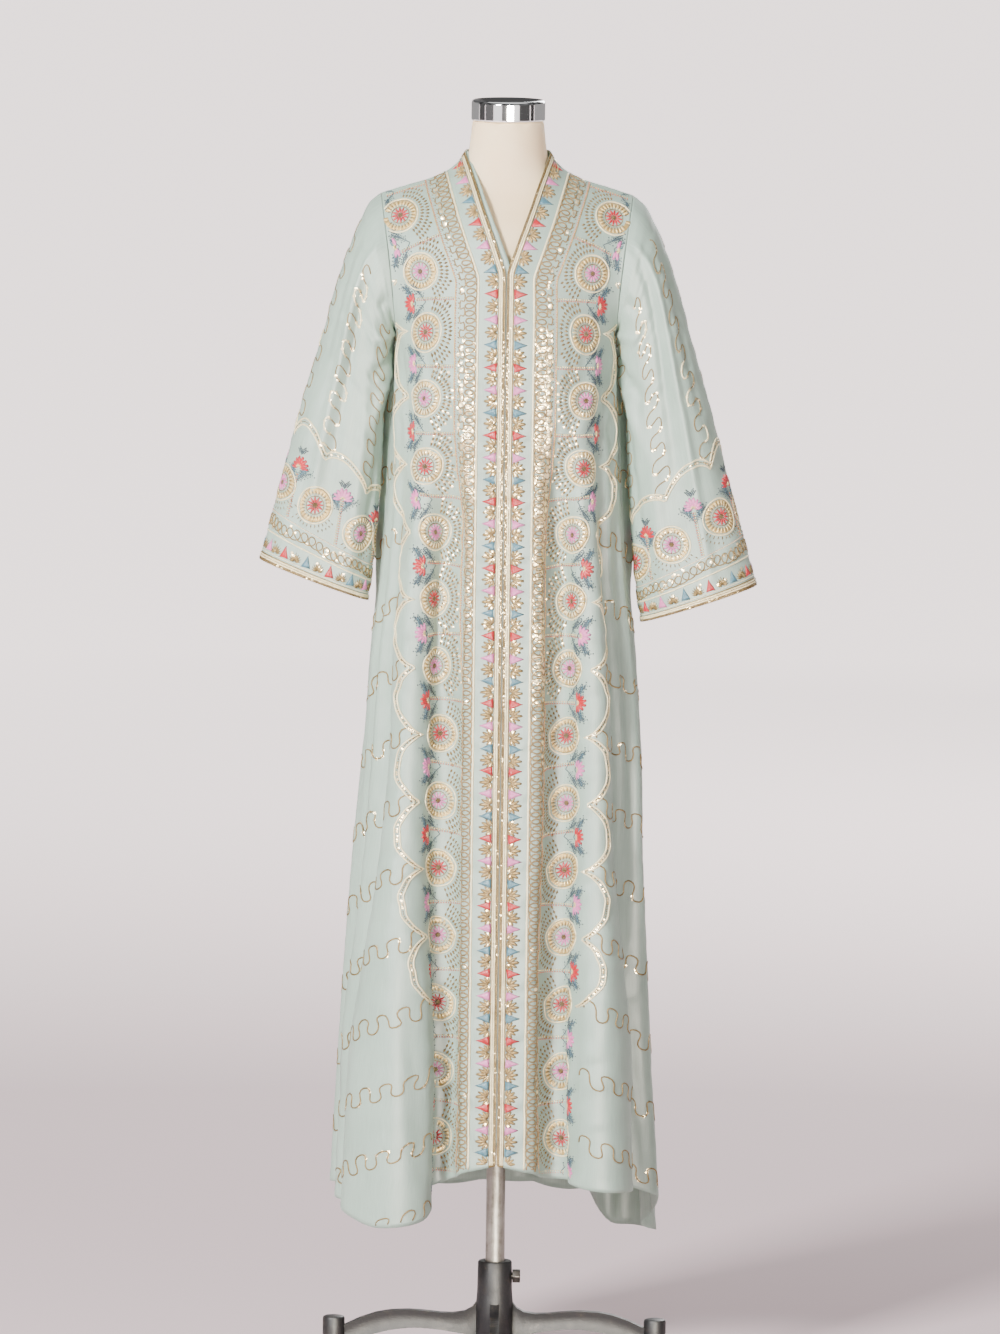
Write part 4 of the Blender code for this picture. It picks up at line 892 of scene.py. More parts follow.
# Stitches
class Work:
    """What is embroidered on one piece of cloth. The stitches of a thread become one mesh."""

    def __init__(self, chart, region, dice):
        self.chart, self.region, self.dice = chart, region, dice
        self.top = chart.top
        self.sewn = {thread: [] for thread in THREADS}

    def add(self, thread, points, faces, uv):
        """Shapes that all have the same faces: points and uv are one row of places a shape."""
        shapes, size = points.shape[:2]
        faces = np.array(faces) + size * np.arange(shapes)[:, None, None]
        self.sewn[thread].append((points.reshape(-1, 3), faces.reshape(-1, 3), uv.reshape(-1, 2)))

    def finish(self):
        """Makes a piece of each thread that was used."""
        for thread, sewn in self.sewn.items():
            if not sewn:
                continue
            points, faces, uv = zip(*sewn)
            starts = np.cumsum([0] + [len(group) for group in points[:-1]])
            faces = np.concatenate([group + start for group, start in zip(faces, starts)])
            made = mesh_piece(f"{self.region}_{thread}_stitches", np.concatenate(points), faces,
                              np.concatenate(uv), THREADS[thread])
            if thread == "sequin":
                made.data.shade_flat()

    def shows(self, spot):
        return self.chart.place(np.array([spot]))[2][0]

    def near(self, centre, offsets):
        """Spots at true millimetre offsets from one centre."""
        return self.chart.about(np.array([centre], float), offsets[None])[0]

    def lay(self, spots):
        """Points and normals of the shapes that show in full."""
        on, out, shown = self.chart.place(spots)
        kept = shown.all(axis=1)
        return on[kept], out[kept]

    def stitches(self, thread, starts, ends, width, height):
        """Short straight stitches, fullest at the middle."""
        on, out = self.lay(np.stack([starts, ends, (starts + ends) / 2], axis=1))
        if not len(on):
            return
        first, last, middle = on[:, 0], on[:, 1], on[:, 2]
        beside = unit(np.cross(out[:, 2], last - first)) * width / 2
        sunk = out[:, 2] * SUNK
        points = np.stack([first + out[:, 0] * (0.2 - SUNK), last + out[:, 1] * (0.2 - SUNK),
                           middle + beside - sunk, middle - beside - sunk, middle + out[:, 2] * height], axis=1)
        length = np.linalg.norm(last - first, axis=1)[:, None] * [0, 1, 0.5, 0.5, 0.5]
        uv = np.stack(np.broadcast_arrays(length, np.array([0, 0, 1, -1, 0]) * width / 2), axis=-1) / 1000
        self.add(thread, points, [(0, 3, 4), (3, 1, 4), (1, 2, 4), (2, 0, 4), (0, 2, 1), (0, 1, 3)], uv)

    def cord(self, thread, path, width, height):
        """A laid cord with a rounded top along a path, left out where the cloth doesn't show."""
        on, out, shown = self.chart.place(path)
        breaks = np.flatnonzero(np.diff(np.concatenate([[0], shown.astype(int), [0]])))
        for start, stop in zip(breaks[::2], breaks[1::2]):
            if stop - start < 2:
                continue
            line, normal = on[start:stop], out[start:stop]
            beside = unit(np.cross(normal, np.gradient(line, axis=0))) * width / 2
            low, top = normal * -SUNK, normal * height
            points = np.stack([line + beside + low, line + beside * 0.55 + top,
                               line - beside * 0.55 + top, line - beside + low], axis=1)
            across = np.array([0, 0.35, 0.65, 1]) * width
            uv = np.stack(np.broadcast_arrays(run(line)[:, None], across[None]), axis=-1) / 1000
            end = 4 * (len(line) - 1)
            faces = []
            for k in range(0, end, 4):
                for a, b in ((0, 1), (1, 2), (2, 3), (3, 0)):
                    faces += [(k + a, k + b, k + 4 + b), (k + a, k + 4 + b, k + 4 + a)]
            faces += [(0, 3, 2), (0, 2, 1), (end, end + 1, end + 2), (end, end + 2, end + 3)]
            self.add(thread, points.reshape(1, -1, 3), faces, uv.reshape(1, -1, 2))

    def ring(self, thread, centre, radius, count, width, height):
        """A cord laid round a centre."""
        spots = self.near(centre, polar(radius, circle(count)))
        self.cord(thread, np.vstack([spots, spots[:1]]), width, height)

    def satin(self, thread, centre, outline, turns, height, sizes=1.0):
        """Padded satin shapes: an outline in true millimetres, laid about a centre at each turn."""
        turns = np.atleast_1d(turns)
        outline = np.asarray(outline, float)
        count = len(outline)
        middle = outline.mean(axis=0)
        local = np.concatenate([outline, middle + (outline - middle) * 0.5, [middle]])
        c, s = np.cos(turns)[:, None], np.sin(turns)[:, None]
        spun = np.stack([local[:, 0] * c - local[:, 1] * s, local[:, 0] * s + local[:, 1] * c], axis=-1)
        spun *= np.broadcast_to(sizes, len(turns))[:, None, None]
        on, out = self.lay(self.chart.about(np.repeat([centre], len(turns), axis=0).astype(float), spun))
        if not len(on):
            return
        lift = np.concatenate([np.full(count, -SUNK), np.full(count, height), [height * 1.12]])
        points = np.concatenate([on + out * lift[None, :, None], on[:, -1:] - out[:, -1:] * SUNK], axis=1)
        uv = np.broadcast_to(np.concatenate([local, [middle]])[None] / 1000, (len(on), 2 * count + 2, 2))
        faces = []
        for k in range(count):
            n = (k + 1) % count
            faces += [(k, n, count + n), (k, count + n, count + k), (count + k, count + n, 2 * count),
                      (n, k, 2 * count + 1)]
        self.add(thread, points, np.array(faces)[:, ::self.chart.hand], uv)

    def sequins(self, spots, radius, thread="sequin", rise=0.35, tilt=0.16):
        """Six-sided cupped discs, or knots where the rise is high, each tilted a little its own way."""
        lean = self.dice.normal(0, tilt, (len(spots), 2))
        spin = self.dice.uniform(0, math.pi, len(spots))
        on, out, shown = self.chart.place(spots)
        on, out, lean, spin = on[shown], out[shown], lean[shown], spin[shown]
        if not len(on):
            return
        first = unit(np.cross(out, [0.31, 0.17, 0.93]))
        out = unit(out + first * lean[:, :1] + np.cross(out, first) * lean[:, 1:])
        first = unit(first - out * np.sum(first * out, axis=1, keepdims=True))
        second = np.cross(out, first)
        on = on + out * 0.45
        angle = (spin[:, None] + np.arange(6) * math.pi / 3)[..., None]
        ring = on[:, None] + radius * (np.cos(angle) * first[:, None] + np.sin(angle) * second[:, None])
        points = np.concatenate([ring, (on + out * rise)[:, None], (on - out * 0.5)[:, None]], axis=1)
        faces = [(k, (k + 1) % 6, 6) for k in range(6)] + [((k + 1) % 6, k, 7) for k in range(6)]
        self.add(thread, points, faces, np.zeros((len(on), 8, 2)))


def spots_at(x, y):
    return np.stack(np.broadcast_arrays(x, y), axis=-1)


def circle(count, phase=0.0):
    """Angles evenly round a circle."""
    return phase + np.linspace(0, 2 * math.pi, count, endpoint=False)


def polar(radius, angle):
    return spots_at(radius * np.cos(angle), radius * np.sin(angle))


def shape(outline, length, half_width, start=0.0):
    return [(start + a * length, b * half_width) for a, b in outline]


# The pattern, in millimetres from the opening and up the front
REPEAT = 91.2
THIRD = REPEAT / 3
PLAIN_FANS_BELOW_V = 330.0
STALK_V = 850.0
BRAID_EDGE = 10.5
LOOP_PITCH = 9.5
STALK_AT = 71.0
MEDALLION_AT = 114.0
FLOWER_AT = 133.0
CUSP_AT = 147.0
SCALLOP_REACH = 36.0
SCALLOP_ROUND = 0.62
SCALLOPS_START_V = STALK_V - 5.5 * REPEAT
MEDALLION_RADIUS = 25.0
TRIANGLE = [(0, -7.8), (6.0, -5.6), (12.0, -3.1), (19.8, -0.4), (19.8, 0.4), (12.0, 3.1), (6.0, 5.6), (0, 7.8)]
PETAL = [(0, -0.35), (0.45, -1.0), (1.0, -0.55), (1.08, 0.0), (1.0, 0.55), (0.45, 1.0), (0, 0.35)]
LEAF = [(0, 0), (0.4, -1.0), (1.0, 0), (0.4, 1.0)]
SPOKE = [(0, -0.35), (0.75, -1.0), (1.0, -0.5), (1.0, 0.5), (0.75, 1.0), (0, 0.35)]
THREE_COLOURS = ("red", "blue", "pink")
# Where the sequins lie close on the chest: heights where they start, are full, thin out and end
GLITTER = {"left": (930, 1060, 1380, 1435), "right": (900, 1010, 1415, 1450)}
SPARKLE = {"left": 0.55, "right": 1.0}
CUFF_REPEAT = CUFF_GIRTH / 6
CUFF_PHASE = {"left": 0.29, "right": 0.21}
CUFF_SCALLOPS_V = 153
LIT_MEANDERS = {"left": {5: 0.75}, "right": {0: 0.30, 5: 0.25}}


def dice_for(side, first_seed):
    return np.random.default_rng(first_seed + (side == "right"))


def medallion(work, centre, colour, bright):
    """A ring of gold spokes round a small daisy."""
    work.ring("white", centre, MEDALLION_RADIUS, 32, 2.6, 1.0)
    work.ring("pale_gold", centre, MEDALLION_RADIUS - 5.2, 30, 8.0, 0.25)
    spokes = circle(24)
    work.satin("white" if bright else "ivory_gold", centre, shape(SPOKE, 9.6, 1.45, 13.2), spokes, 1.0)
    work.satin("gold", centre, shape(LEAF, 8.6, 1.0, 13.6), spokes + math.pi / 24, 1.1)
    work.ring("gold", centre, 12.4, 26, 1.5, 0.7)
    work.satin(colour, centre, shape(PETAL, 9.2, 1.9, 2.4), circle(12, 0.2), 0.9)
    knots = work.near(centre, polar(2.1, circle(6)))
    work.sequins(np.vstack([knots, [centre]]), 1.7, "gold", 0.8, 0.1)
    if bright:
        work.sequins(work.near(centre, polar(18.0, circle(16, work.dice.uniform(0, 1)))), 2.0)


def dashes(work, centre, near, far, middle, reach, count):
    """Starts and ends of dashes that fan about a centre."""
    angle = np.linspace(middle - reach, middle + reach, count)
    spots = work.near(centre, np.concatenate([polar(near, angle), polar(far, angle)]))
    return spots[:count], spots[count:]


def flower(work, base, turn, colour):
    """Half a flower seen from the side, its petals spread away from the stalk."""
    spread = np.linspace(-1.5, 1.5, 8)
    work.satin(colour, base, shape(PETAL, 15.0, 3.6, 1.0), turn + spread, 1.0, 1.0 - 0.08 * np.abs(spread))
    work.satin("ivory_gold", base, shape(LEAF, 6.5, 1.1, 0.4), turn + np.linspace(-1.1, 1.1, 5), 1.35)


def sprig(work, base, turn, hand, size, thread="slate", twigs=True):
    """A fern-like sprig that bends away from the stalk, with leaflets, dots and side twigs."""
    bend = turn + hand * (0.15 + 0.95 * np.linspace(0, 1, 11))
    path = np.vstack([[0, 0], np.cumsum((polar(1, bend) * size * 3)[:-1], axis=0)])
    spots = work.near(base, path)
    work.cord(thread, spots, 1.3, 0.6)
    starts, ends, dots = [], [], []
    for k in range(2, 11):
        for lean in (bend[k] - 0.85, bend[k] + 0.85):
            way = np.array([math.cos(lean), math.sin(lean)])
            starts.append(path[k])
            ends.append(path[k] + size * (5.2 - 0.2 * k) * work.dice.uniform(0.8, 1.2) * way)
            if k % 2 == 0:
                dots.append(ends[-1] + 1.6 * way)
    both = work.near(base, np.array(starts + ends + dots))
    count = len(starts)
    work.stitches(thread, both[:count], both[count:2 * count], 1.6, 0.7)
    work.sequins(both[2 * count:], 1.0, thread, 0.4, 0.05)
    if twigs:
        sprig(work, spots[4], bend[4] - hand * 0.8, hand * 0.5, size * 0.5, thread, False)


def stalk(work, start, turn, length):
    """Two lines of slanted stitches side by side."""
    reach = (np.arange(int(length / 3.4)) * 3.4)[:, None]
    ahead = np.array([math.cos(turn), math.sin(turn)])
    beside = np.array([-ahead[1], ahead[0]])
    for offset, thread in ((-1.3, "peach"), (1.3, "ivory_gold")):
        first = reach * ahead + (offset - 0.8) * beside
        last = (reach + 2.6) * ahead + (offset + 0.8) * beside
        both = work.near(start, np.concatenate([first, last]))
        work.stitches(thread, both[:len(reach)], both[len(reach):], 3.5, 1.3)


def meander(length, pitch, amplitude, phase_shift=0.0):
    """Offsets along and beside a line for a meander whose bends bulge over its necks."""
    steps = np.arange(0, length, 2.2)
    phase = 2 * math.pi * steps / pitch + phase_shift
    swell = 1 + 0.10 * np.sin(0.37 * phase)
    return steps - 0.115 * pitch * np.sin(2 * phase), amplitude * swell * np.sin(phase), phase


def light_bends(work, path, phase, bright):
    """Sequins over some bends of a meander, and a cream cord where many are lit."""
    bend = np.floor(phase / math.pi).astype(int)
    for number in range(bend.min(), bend.max() + 1):
        chance = work.dice.uniform()
        lit = path[bend == number]
        if chance < bright:
            work.sequins(lit[::2], 2.4)
            if bright > 0.5 or chance < 0.25 * bright:
                work.cord("white", lit, 2.9, 1.2)
        elif chance < 3 * bright:
            work.sequins(lit[1:3], 2.4)


def squiggle(work, start, slope, length):
    """A meander of thin cord that starts at a spot and slopes away, its bends lit here and there."""
    ahead, beside, phase = meander(length, 33.0, 11.0)
    path = spots_at(start[0] + ahead, start[1] + beside + slope * ahead)
    work.cord("gold", path, 2.4, 0.9)
    light_bends(work, path, phase, 0.10)


def glitter(v, side):
    """How thickly the sequins lie: close on the chest, sparse below."""
    low, full, top, off = GLITTER[side]
    height = v + LOWEST_Z
    return smooth(low, full, height) * (1 - smooth(top, off, height))


def inner_bands(work, side):
    """The bands beside the opening: cords, triangles, fans, loops and the dotted line."""
    top, dice = work.top, work.dice
    line = np.arange(0, top, 4.0)
    work.cord("white", spots_at(37.8, line), 3.5, 1.3)
    work.cord("pale_gold", spots_at(69.6, line), 1.7, 0.9)
    first = spots_at(67.0, np.arange(0, top, 3.4))
    work.stitches("peach", first, first + [3.0, 2.2], 2.2, 1.1)
    for row in range(int(-STALK_V / THIRD), int((top - STALK_V) / THIRD) + 1):
        v = STALK_V + row * THIRD
        work.satin(THREE_COLOURS[row % 3], (BRAID_EDGE - 0.4, v), TRIANGLE, 0.0, 1.0)
        base = (BRAID_EDGE + 1.2, v + THIRD / 2)
        spread = np.linspace(-1.4, 1.4, 7)
        work.satin("beige_gold", base, shape(PETAL, 15.6, 3.1, 0.6), spread, 0.9, 1.02 - 0.24 * np.abs(spread))
        work.satin("pale_gold", base, shape(PETAL, 10.0, 1.3, 4.6), spread, 1.4, 1 - 0.24 * np.abs(spread))
        fewest = 0.4 if v < PLAIN_FANS_BELOW_V else 1.6
        count = int(round(fewest + 5 * glitter(v, side) + dice.uniform(0, 0.8)))
        angle = np.linspace(-1.15, 1.15, count) + dice.uniform(-0.15, 0.15, count)
        reach = dice.uniform(5.5, 13.0, count) * (1 - 0.24 * np.abs(angle))
        work.sequins(np.array(base) + polar(reach, angle), 2.6)
    turn = np.arange(0, top / LOOP_PITCH * 2 * math.pi, 2 * math.pi / 13)
    loops = spots_at(47.4 + 7.4 * np.sin(turn) + 0.9 * np.sin(turn * 0.23),
                     LOOP_PITCH * turn / (2 * math.pi) + 5.6 * np.cos(turn))
    work.cord("beige_gold", loops, 2.5, 1.05)
    line = np.arange(0, top, 1.9)
    turn = line * 2 * math.pi / (2 * LOOP_PITCH)
    work.cord("beige_gold", spots_at(59.4 + 3.6 * np.sin(turn), line - 2.9 * np.sin(2 * turn)), 2.2, 1.0)
    first = spots_at(63.2, np.arange(4, top, 6.5))
    work.stitches("gold", first, first + [2.6, 3.0], 2.2, 0.9)
    eyes = np.arange(LOOP_PITCH / 2, top, LOOP_PITCH)
    eyes = eyes[dice.uniform(0, 1, len(eyes)) < 0.35 + 0.65 * glitter(eyes, side) * SPARKLE[side]]
    work.sequins(spots_at(59.0 + dice.uniform(-1.6, 1.6, len(eyes)), eyes), 2.9)
    count = int(top * 1.45)
    spots = spots_at(dice.uniform(41.0, 64.5, count), dice.uniform(0, top, count))
    wanted = dice.uniform(0, 1, count) < 0.015 + 0.985 * glitter(spots[:, 1], side) * SPARKLE[side]
    work.sequins(spots[wanted], 2.7)


def medallion_column(work, side):
    """Medallions with their fans of dashes, and between them the stalks, flowers and sprigs."""
    for row in range(int(-STALK_V / REPEAT) - 1, int((work.top - STALK_V) / REPEAT) + 2):
        v = STALK_V + row * REPEAT
        colour = "red" if row % 2 else "pink"
        lit = glitter(v, side) > 0.4
        centre = (MEDALLION_AT, v - REPEAT / 2)
        if work.shows(centre):
            medallion(work, centre, colour, lit)
            for near, far, count in ((27.4, 34.4, 17), (34.9, 41.7, 20), (42.2, 48.6, 22)):
                first, last = dashes(work, centre, near, far, math.pi, 1.2, count)
                kept = (first[:, 0] > STALK_AT + 0.5) & (last[:, 0] > STALK_AT + 0.5)
                kept &= (np.abs(first[:, 1] - v) > 3.5) & (np.abs(first[:, 1] - v + REPEAT) > 3.5)
                work.stitches("gold", first[kept], last[kept], 4.4, 1.1)
                if lit:
                    work.sequins(last[kept][::2], 2.1)
        if not work.shows((STALK_AT, v)):
            continue
        stalk(work, (STALK_AT, v), 0.0, FLOWER_AT - STALK_AT - 1)
        flower(work, (FLOWER_AT, v), 0.0, colour)
        for hand in (1, -1):
            sprig(work, (FLOWER_AT - 20, v), hand * 0.75, hand * 0.42, 1.1)
            sprig(work, (FLOWER_AT - 4, v), hand * 1.05, hand * -0.30, 1.0)
            sprig(work, (FLOWER_AT + 3, v + 3 * hand), hand * 0.95, hand * 0.35, 0.7, "blue", False)


def double_line(work, line_at):
    """Two cords with dashes and some sequins between them. line_at gives the spots at a shift."""
    for shift in (0.0, 7.6):
        work.cord("white", line_at(shift), 2.9, 1.2)
    middle = line_at(3.8)
    work.stitches("gold", middle[:-1], middle[1:], 2.4, 0.8)
    work.sequins(middle[work.dice.uniform(0, 1, len(middle)) < 0.5], 2.0)


def scallops(work):
    """The double scalloped border outside the flowers, from the cusp where it starts."""
    line = np.arange(SCALLOPS_START_V, work.top, 3.2)
    wave = SCALLOP_REACH * np.abs(np.cos(math.pi * (line - STALK_V) / REPEAT)) ** SCALLOP_ROUND
    double_line(work, lambda shift: spots_at(CUSP_AT + shift + wave, line))
    cusps = np.arange(STALK_V - REPEAT * 20.5, work.top, REPEAT)
    for v in cusps[cusps > 0]:
        squiggle(work, (CUSP_AT + 18, v), -0.30, 400 + 280 * smooth(760, 150, v))


charts = {side: body_chart(side) for side in SIDES}
for side, chart in charts.items():
    work = Work(chart, f"body_{side}", dice_for(side, 11))
    inner_bands(work, side)
    medallion_column(work, side)
    scallops(work)
    work.finish()
    work = Work(back_chart(side), f"upper_back_{side}", work.dice)
    for v in np.arange(20, 260, REPEAT * 0.75):
        squiggle(work, (8, v), -0.1, 190)
    work.finish()


# Cuffs
def cuff_bands(work, side):
    """The cuff's bands, going up from its braid: triangles, loops, medallions, flowers, scallops."""
    dice = work.dice
    round_it = np.arange(0, CUFF_GIRTH + 0.1, CUFF_GIRTH / 124)
    for at, thread, width, height in ((11.6, "cream", 1.5, 0.8), (34.0, "white", 2.7, 1.1),
                                      (58.0, "cream", 1.6, 0.7)):
        work.cord(thread, spots_at(round_it, at), width, height)
    first = spots_at(np.arange(110) / 110 * CUFF_GIRTH, 56.8)
    work.stitches("peach", first, first + [2.2, 2.8], 1.5, 1.0)
    count = 14
    for k in range(count):
        u = (k / count) * CUFF_GIRTH + CUFF_PHASE[side] * CUFF_GIRTH
        work.satin(THREE_COLOURS[k % 3], (u, 12.5), TRIANGLE, math.pi / 2, 1.0, 0.92)
        base = (u + CUFF_GIRTH / count / 2, 13.5)
        spread = np.linspace(-1.2, 1.2, 9)
        work.satin("gold", base, shape(LEAF, 14.5, 2.0, 1.0), math.pi / 2 + spread, 0.95,
                   1 - 0.26 * np.abs(spread))
        work.sequins(np.array(base) + spots_at(dice.uniform(-5, 5, 3), dice.uniform(4, 13, 3)), 2.2)
    turn = np.arange(0, 42 * 2 * math.pi, 2 * math.pi / 15)
    loops = spots_at(CUFF_GIRTH / 42 * turn / (2 * math.pi) + 5.8 * np.cos(turn),
                     46.0 + 6.6 * np.sin(turn) + 2.4 * np.sin(turn / 7))
    work.cord("gold", loops, 1.9, 0.9)
    work.sequins(spots_at(dice.uniform(0, CUFF_GIRTH, 90), dice.uniform(38, 55, 90)), 2.3)
    for k in range(6):
        u = (k + 0.5 + CUFF_PHASE[side] * 6) * CUFF_REPEAT
        centre = (u % CUFF_GIRTH, 95.0)
        medallion(work, centre, "red" if k % 2 else "pink", k % 3 == 0)
        for near, far, count in ((26.4, 31.6, 11), (33.6, 38.0, 13)):
            first, last = dashes(work, centre, near, far, -math.pi / 2, 0.95, count)
            kept = last[:, 1] > 60.5
            work.stitches("gold", first[kept], last[kept], 2.4, 0.9)
        at = (u + CUFF_REPEAT / 2) % CUFF_GIRTH
        stalk(work, (at, 61.0), math.pi / 2, 62)
        flower(work, (at, 124.0), math.pi / 2, "pink" if k % 2 else "red")
        for hand in (1, -1):
            sprig(work, (at, 104.0), math.pi / 2 + hand * 0.30, hand * 0.8, 0.95)
            sprig(work, (at, 110.0), math.pi / 2 + hand * 0.7, -hand * 0.25, 0.7, "blue")
            sprig(work, (at, 140.0), math.pi / 2 + hand * 0.3, hand * 0.5, 0.32, twigs=False)
    wave = 21 * np.abs(np.cos(math.pi * (round_it / CUFF_REPEAT - 6 * CUFF_PHASE[side]))) ** SCALLOP_ROUND
    double_line(work, lambda shift: spots_at(round_it, CUFF_SCALLOPS_V + shift + wave))


def sleeve_squiggles(work, side):
    """Meanders that run up the sleeve from the cusps of its scallops, one of them lit."""
    for k in range(6):
        u = (k + 0.5 + CUFF_PHASE[side] * 6) * CUFF_REPEAT
        ahead, beside, phase = meander(work.top - 196, 34.0, 10.5, k)
        path = spots_at(u + beside, 166 + ahead)
        inside = path[:, 1] < work.top - 20
        work.cord("gold", path[inside], 1.9, 0.75)
        light_bends(work, path[inside], phase[inside], LIT_MEANDERS[side].get(k, 0.06))


sleeve_charts = {side: sleeve_chart(side) for side in SIDES}
for side, chart in sleeve_charts.items():
    work = Work(chart, f"sleeve_{side}", dice_for(side, 21))
    cuff_bands(work, side)
    sleeve_squiggles(work, side)
    work.finish()

# Braids
BRAID_REACH = np.array([1.5, 2.2, 3.6, 5.4, 7.2, 8.6, 9.8, 10.5])
BRAID_RISES = (0.35 + 0.55 * np.sin(np.linspace(0.25, math.pi - 0.25, len(BRAID_REACH))))[:, None]
BRAID_LIFT = 0.75
NECK_SHARE = 0.405
CUFF_BRAID_SHIFT = 1.2


def braid_tape(name, points, normals, across, rises, replaces, wrap=False):
    """The woven tape under a braid, a little thicker along its middle."""
    shell(name, points + normals * rises, normals, cloth_uv(points, across), THREADS["gold"], replaces, 0.7, wrap)


def plait(work, line_of, length, lit):
    """The braid's cords and slanted stitches over its tape. line_of gives the spots of a line
    at a reach across the braid, from its start and end along it."""
    steps = np.arange(0, length, 3.0)
    for reach, thread, width, height in ((1.6, "gold", 1.5, 0.8), (3.9, "gold", 1.0, 0.9), (5.6, "white", 2.5, 0.8),
                                         (8.1, "white", 2.5, 0.8)):
        work.cord(thread, line_of(reach, steps), width, height)
    slant = np.arange(0, length, 2.0)
    for low, high, lean, thread in ((0.7, 2.5, 1.6, "pale_gold"), (4.1, 2.5, 1.6, "gold"), (4.5, 6.9, 2.0, "white"),
                                    (9.4, 7.0, 2.0, "white")):
        work.stitches(thread, line_of(low, slant), line_of(high, slant + lean), 1.7, 1.25)
    drops = np.arange(1.0, length, 2.9)
    wanted = work.dice.uniform(0, 1, len(drops)) < lit(drops)
    work.sequins(line_of(work.dice.uniform(1.8, 6.0, len(drops)), drops)[wanted], 1.7)
    work.finish()


for side, (front, _) in halves.items():
    points, normals = (grid[:-1] for grid in panel_mesh_grid(front, side, BRAID_REACH, 300, 60, to_seam=False))
    braid_tape(f"front_{side}_braid_tape", points, normals, BRAID_REACH, BRAID_RISES, f"front_braid_{side}")
    chart = charts[side].lifted(BRAID_LIFT)
    chart.shown[:] = 1
    low = charts[side].points[:, 3, 2]
    first_v = STEP * np.argmax(low > points[0, 3, 2] + 1.0)
    plait(Work(chart, f"front_{side}_braid", dice_for(side, 31)), lambda reach, v: spots_at(reach, v + first_v),
          chart.top - first_v - 4, lambda v: 0.12 + 0.85 * glitter(v + first_v, side))

strips = []
for side, (_, back) in halves.items():
    reach = np.linspace(0, 1, 16) * NECK_SHARE * back.width[-1]
    levels = np.linspace(ARMPIT_LEVEL + YOKE_LEVELS, ARMPIT_LEVEL + YOKE_LEVELS * 0.6, 240)
    on, out, _ = back.read(*np.meshgrid(levels, reach, indexing="ij"))
    down = run(on)
    wanted = BRAID_REACH[::-1] - 1.0
    on, out = (np.array([[np.interp(wanted, down[:, column], grid[:, column, k]) for k in range(3)]
                         for column in range(len(reach))]).transpose(2, 0, 1) for grid in (on, out))
    strips.append((on, unit(out), reach))
points, normals, across = whole_back(*strips)
braid_tape("neck_braid_tape", points, normals, across, BRAID_RISES[:, None], "neck_braid")

for side, chart in sleeve_charts.items():
    round_it = circle(int(CUFF_GIRTH / 3)) / (2 * math.pi) * CUFF_GIRTH
    up, across = np.meshgrid(BRAID_REACH - CUFF_BRAID_SHIFT, round_it, indexing="ij")
    on, out, _ = chart.place(np.stack([across, up], axis=-1))
    braid_tape(f"cuff_{side}_braid_tape", on, out, round_it, BRAID_RISES[:, None], f"cuff_braid_{side}", wrap=True)
    plait(Work(chart.lifted(BRAID_LIFT), f"cuff_{side}_braid", dice_for(side, 41)),
          lambda reach, v: spots_at(v, reach - CUFF_BRAID_SHIFT), CUFF_GIRTH, lambda v: 0.2)


# Hard pieces, modelled as by hand
hard_pieces = []
TINY = 0.01


def metres(*values):
    return tuple(value / 1000 for value in values)


def edit_all():
    bpy.ops.object.mode_set(mode="EDIT")
    bpy.ops.mesh.select_all(action="SELECT")


def leave_edit():
    bpy.ops.object.mode_set(mode="OBJECT")


def settled(name, material, body, slot, *nodes, angle=35):
    """The active object as a finished piece, its place in its mesh, facing out and smooth."""
    obj = bpy.context.object
    edit_all()
    bpy.ops.mesh.remove_doubles(threshold=0.00002)
    bpy.ops.mesh.normals_make_consistent(inside=False)
    leave_edit()
    bpy.ops.object.transform_apply(location=True, rotation=True, scale=True)
    bpy.ops.object.shade_smooth_by_angle(angle=math.radians(angle))
    obj.name = obj.data.name = name
    obj.data.materials.append(material)
    hard_pieces.append((obj, body, slot, nodes))


def turned(profile, sides):
    """A piece turned about the stand's axis: radii and heights from its start round to its end."""
    bpy.ops.object.select_all(action="DESELECT")
    radius, height = profile[0]
    bpy.ops.mesh.primitive_circle_add(vertices=sides, radius=radius / 1000, location=metres(0, 0, height))
    edit_all()
    for (before, low), (after, high) in zip(profile, profile[1:]):
        bpy.ops.mesh.extrude_region_move(TRANSFORM_OT_translate={"value": (0, 0, (high - low) / 1000)})
        grow = after / before
        bpy.ops.transform.resize(value=(grow, grow, 1), center_override=metres(0, 0, high))
    leave_edit()


def bevelled(obj, width, segments=2):
    edge = obj.modifiers.new("edge", "BEVEL")
    edge.width = width / 1000
    edge.segments = segments
    edge.limit_method = "ANGLE"
    edge.angle_limit = math.radians(30)
    bpy.context.view_layer.objects.active = obj
    bpy.ops.object.modifier_apply(modifier="edge")


def chrome_finish():
    paint = Paint("polished_chrome", (0.86, 0.87, 0.88), 0.05, 1.0)
    lines = paint.noise(paint.stretched(paint.place(), 30, 30, 900), 3.0, 3.0)
    paint.set(Roughness=paint.spread(lines, 0.03, 0.13), Normal=paint.bump(lines, 0.02, 0.0002))
    return paint.made


def steel_finish(name, *shades):
    """Worn steel: dull, streaked down its length, with dark specks and stains."""
    paint = Paint(name, shades[-1], 0.42, 0.7)
    place = paint.place()
    streak = paint.noise(paint.stretched(place, 160, 160, 9), 1.0, 5.0)
    mixed = paint.added(streak, paint.noise(place, 42.0, 6.0, 0.7), 0.5, 0.5)
    paint.set(Base_Color=paint.ramp(mixed, *zip((0.36, 0.47, 0.62), shades)),
              Roughness=paint.spread(mixed, 0.6, 0.3, 0.3, 0.7), Normal=paint.bump(mixed, 0.15, 0.0006))
    return paint.made


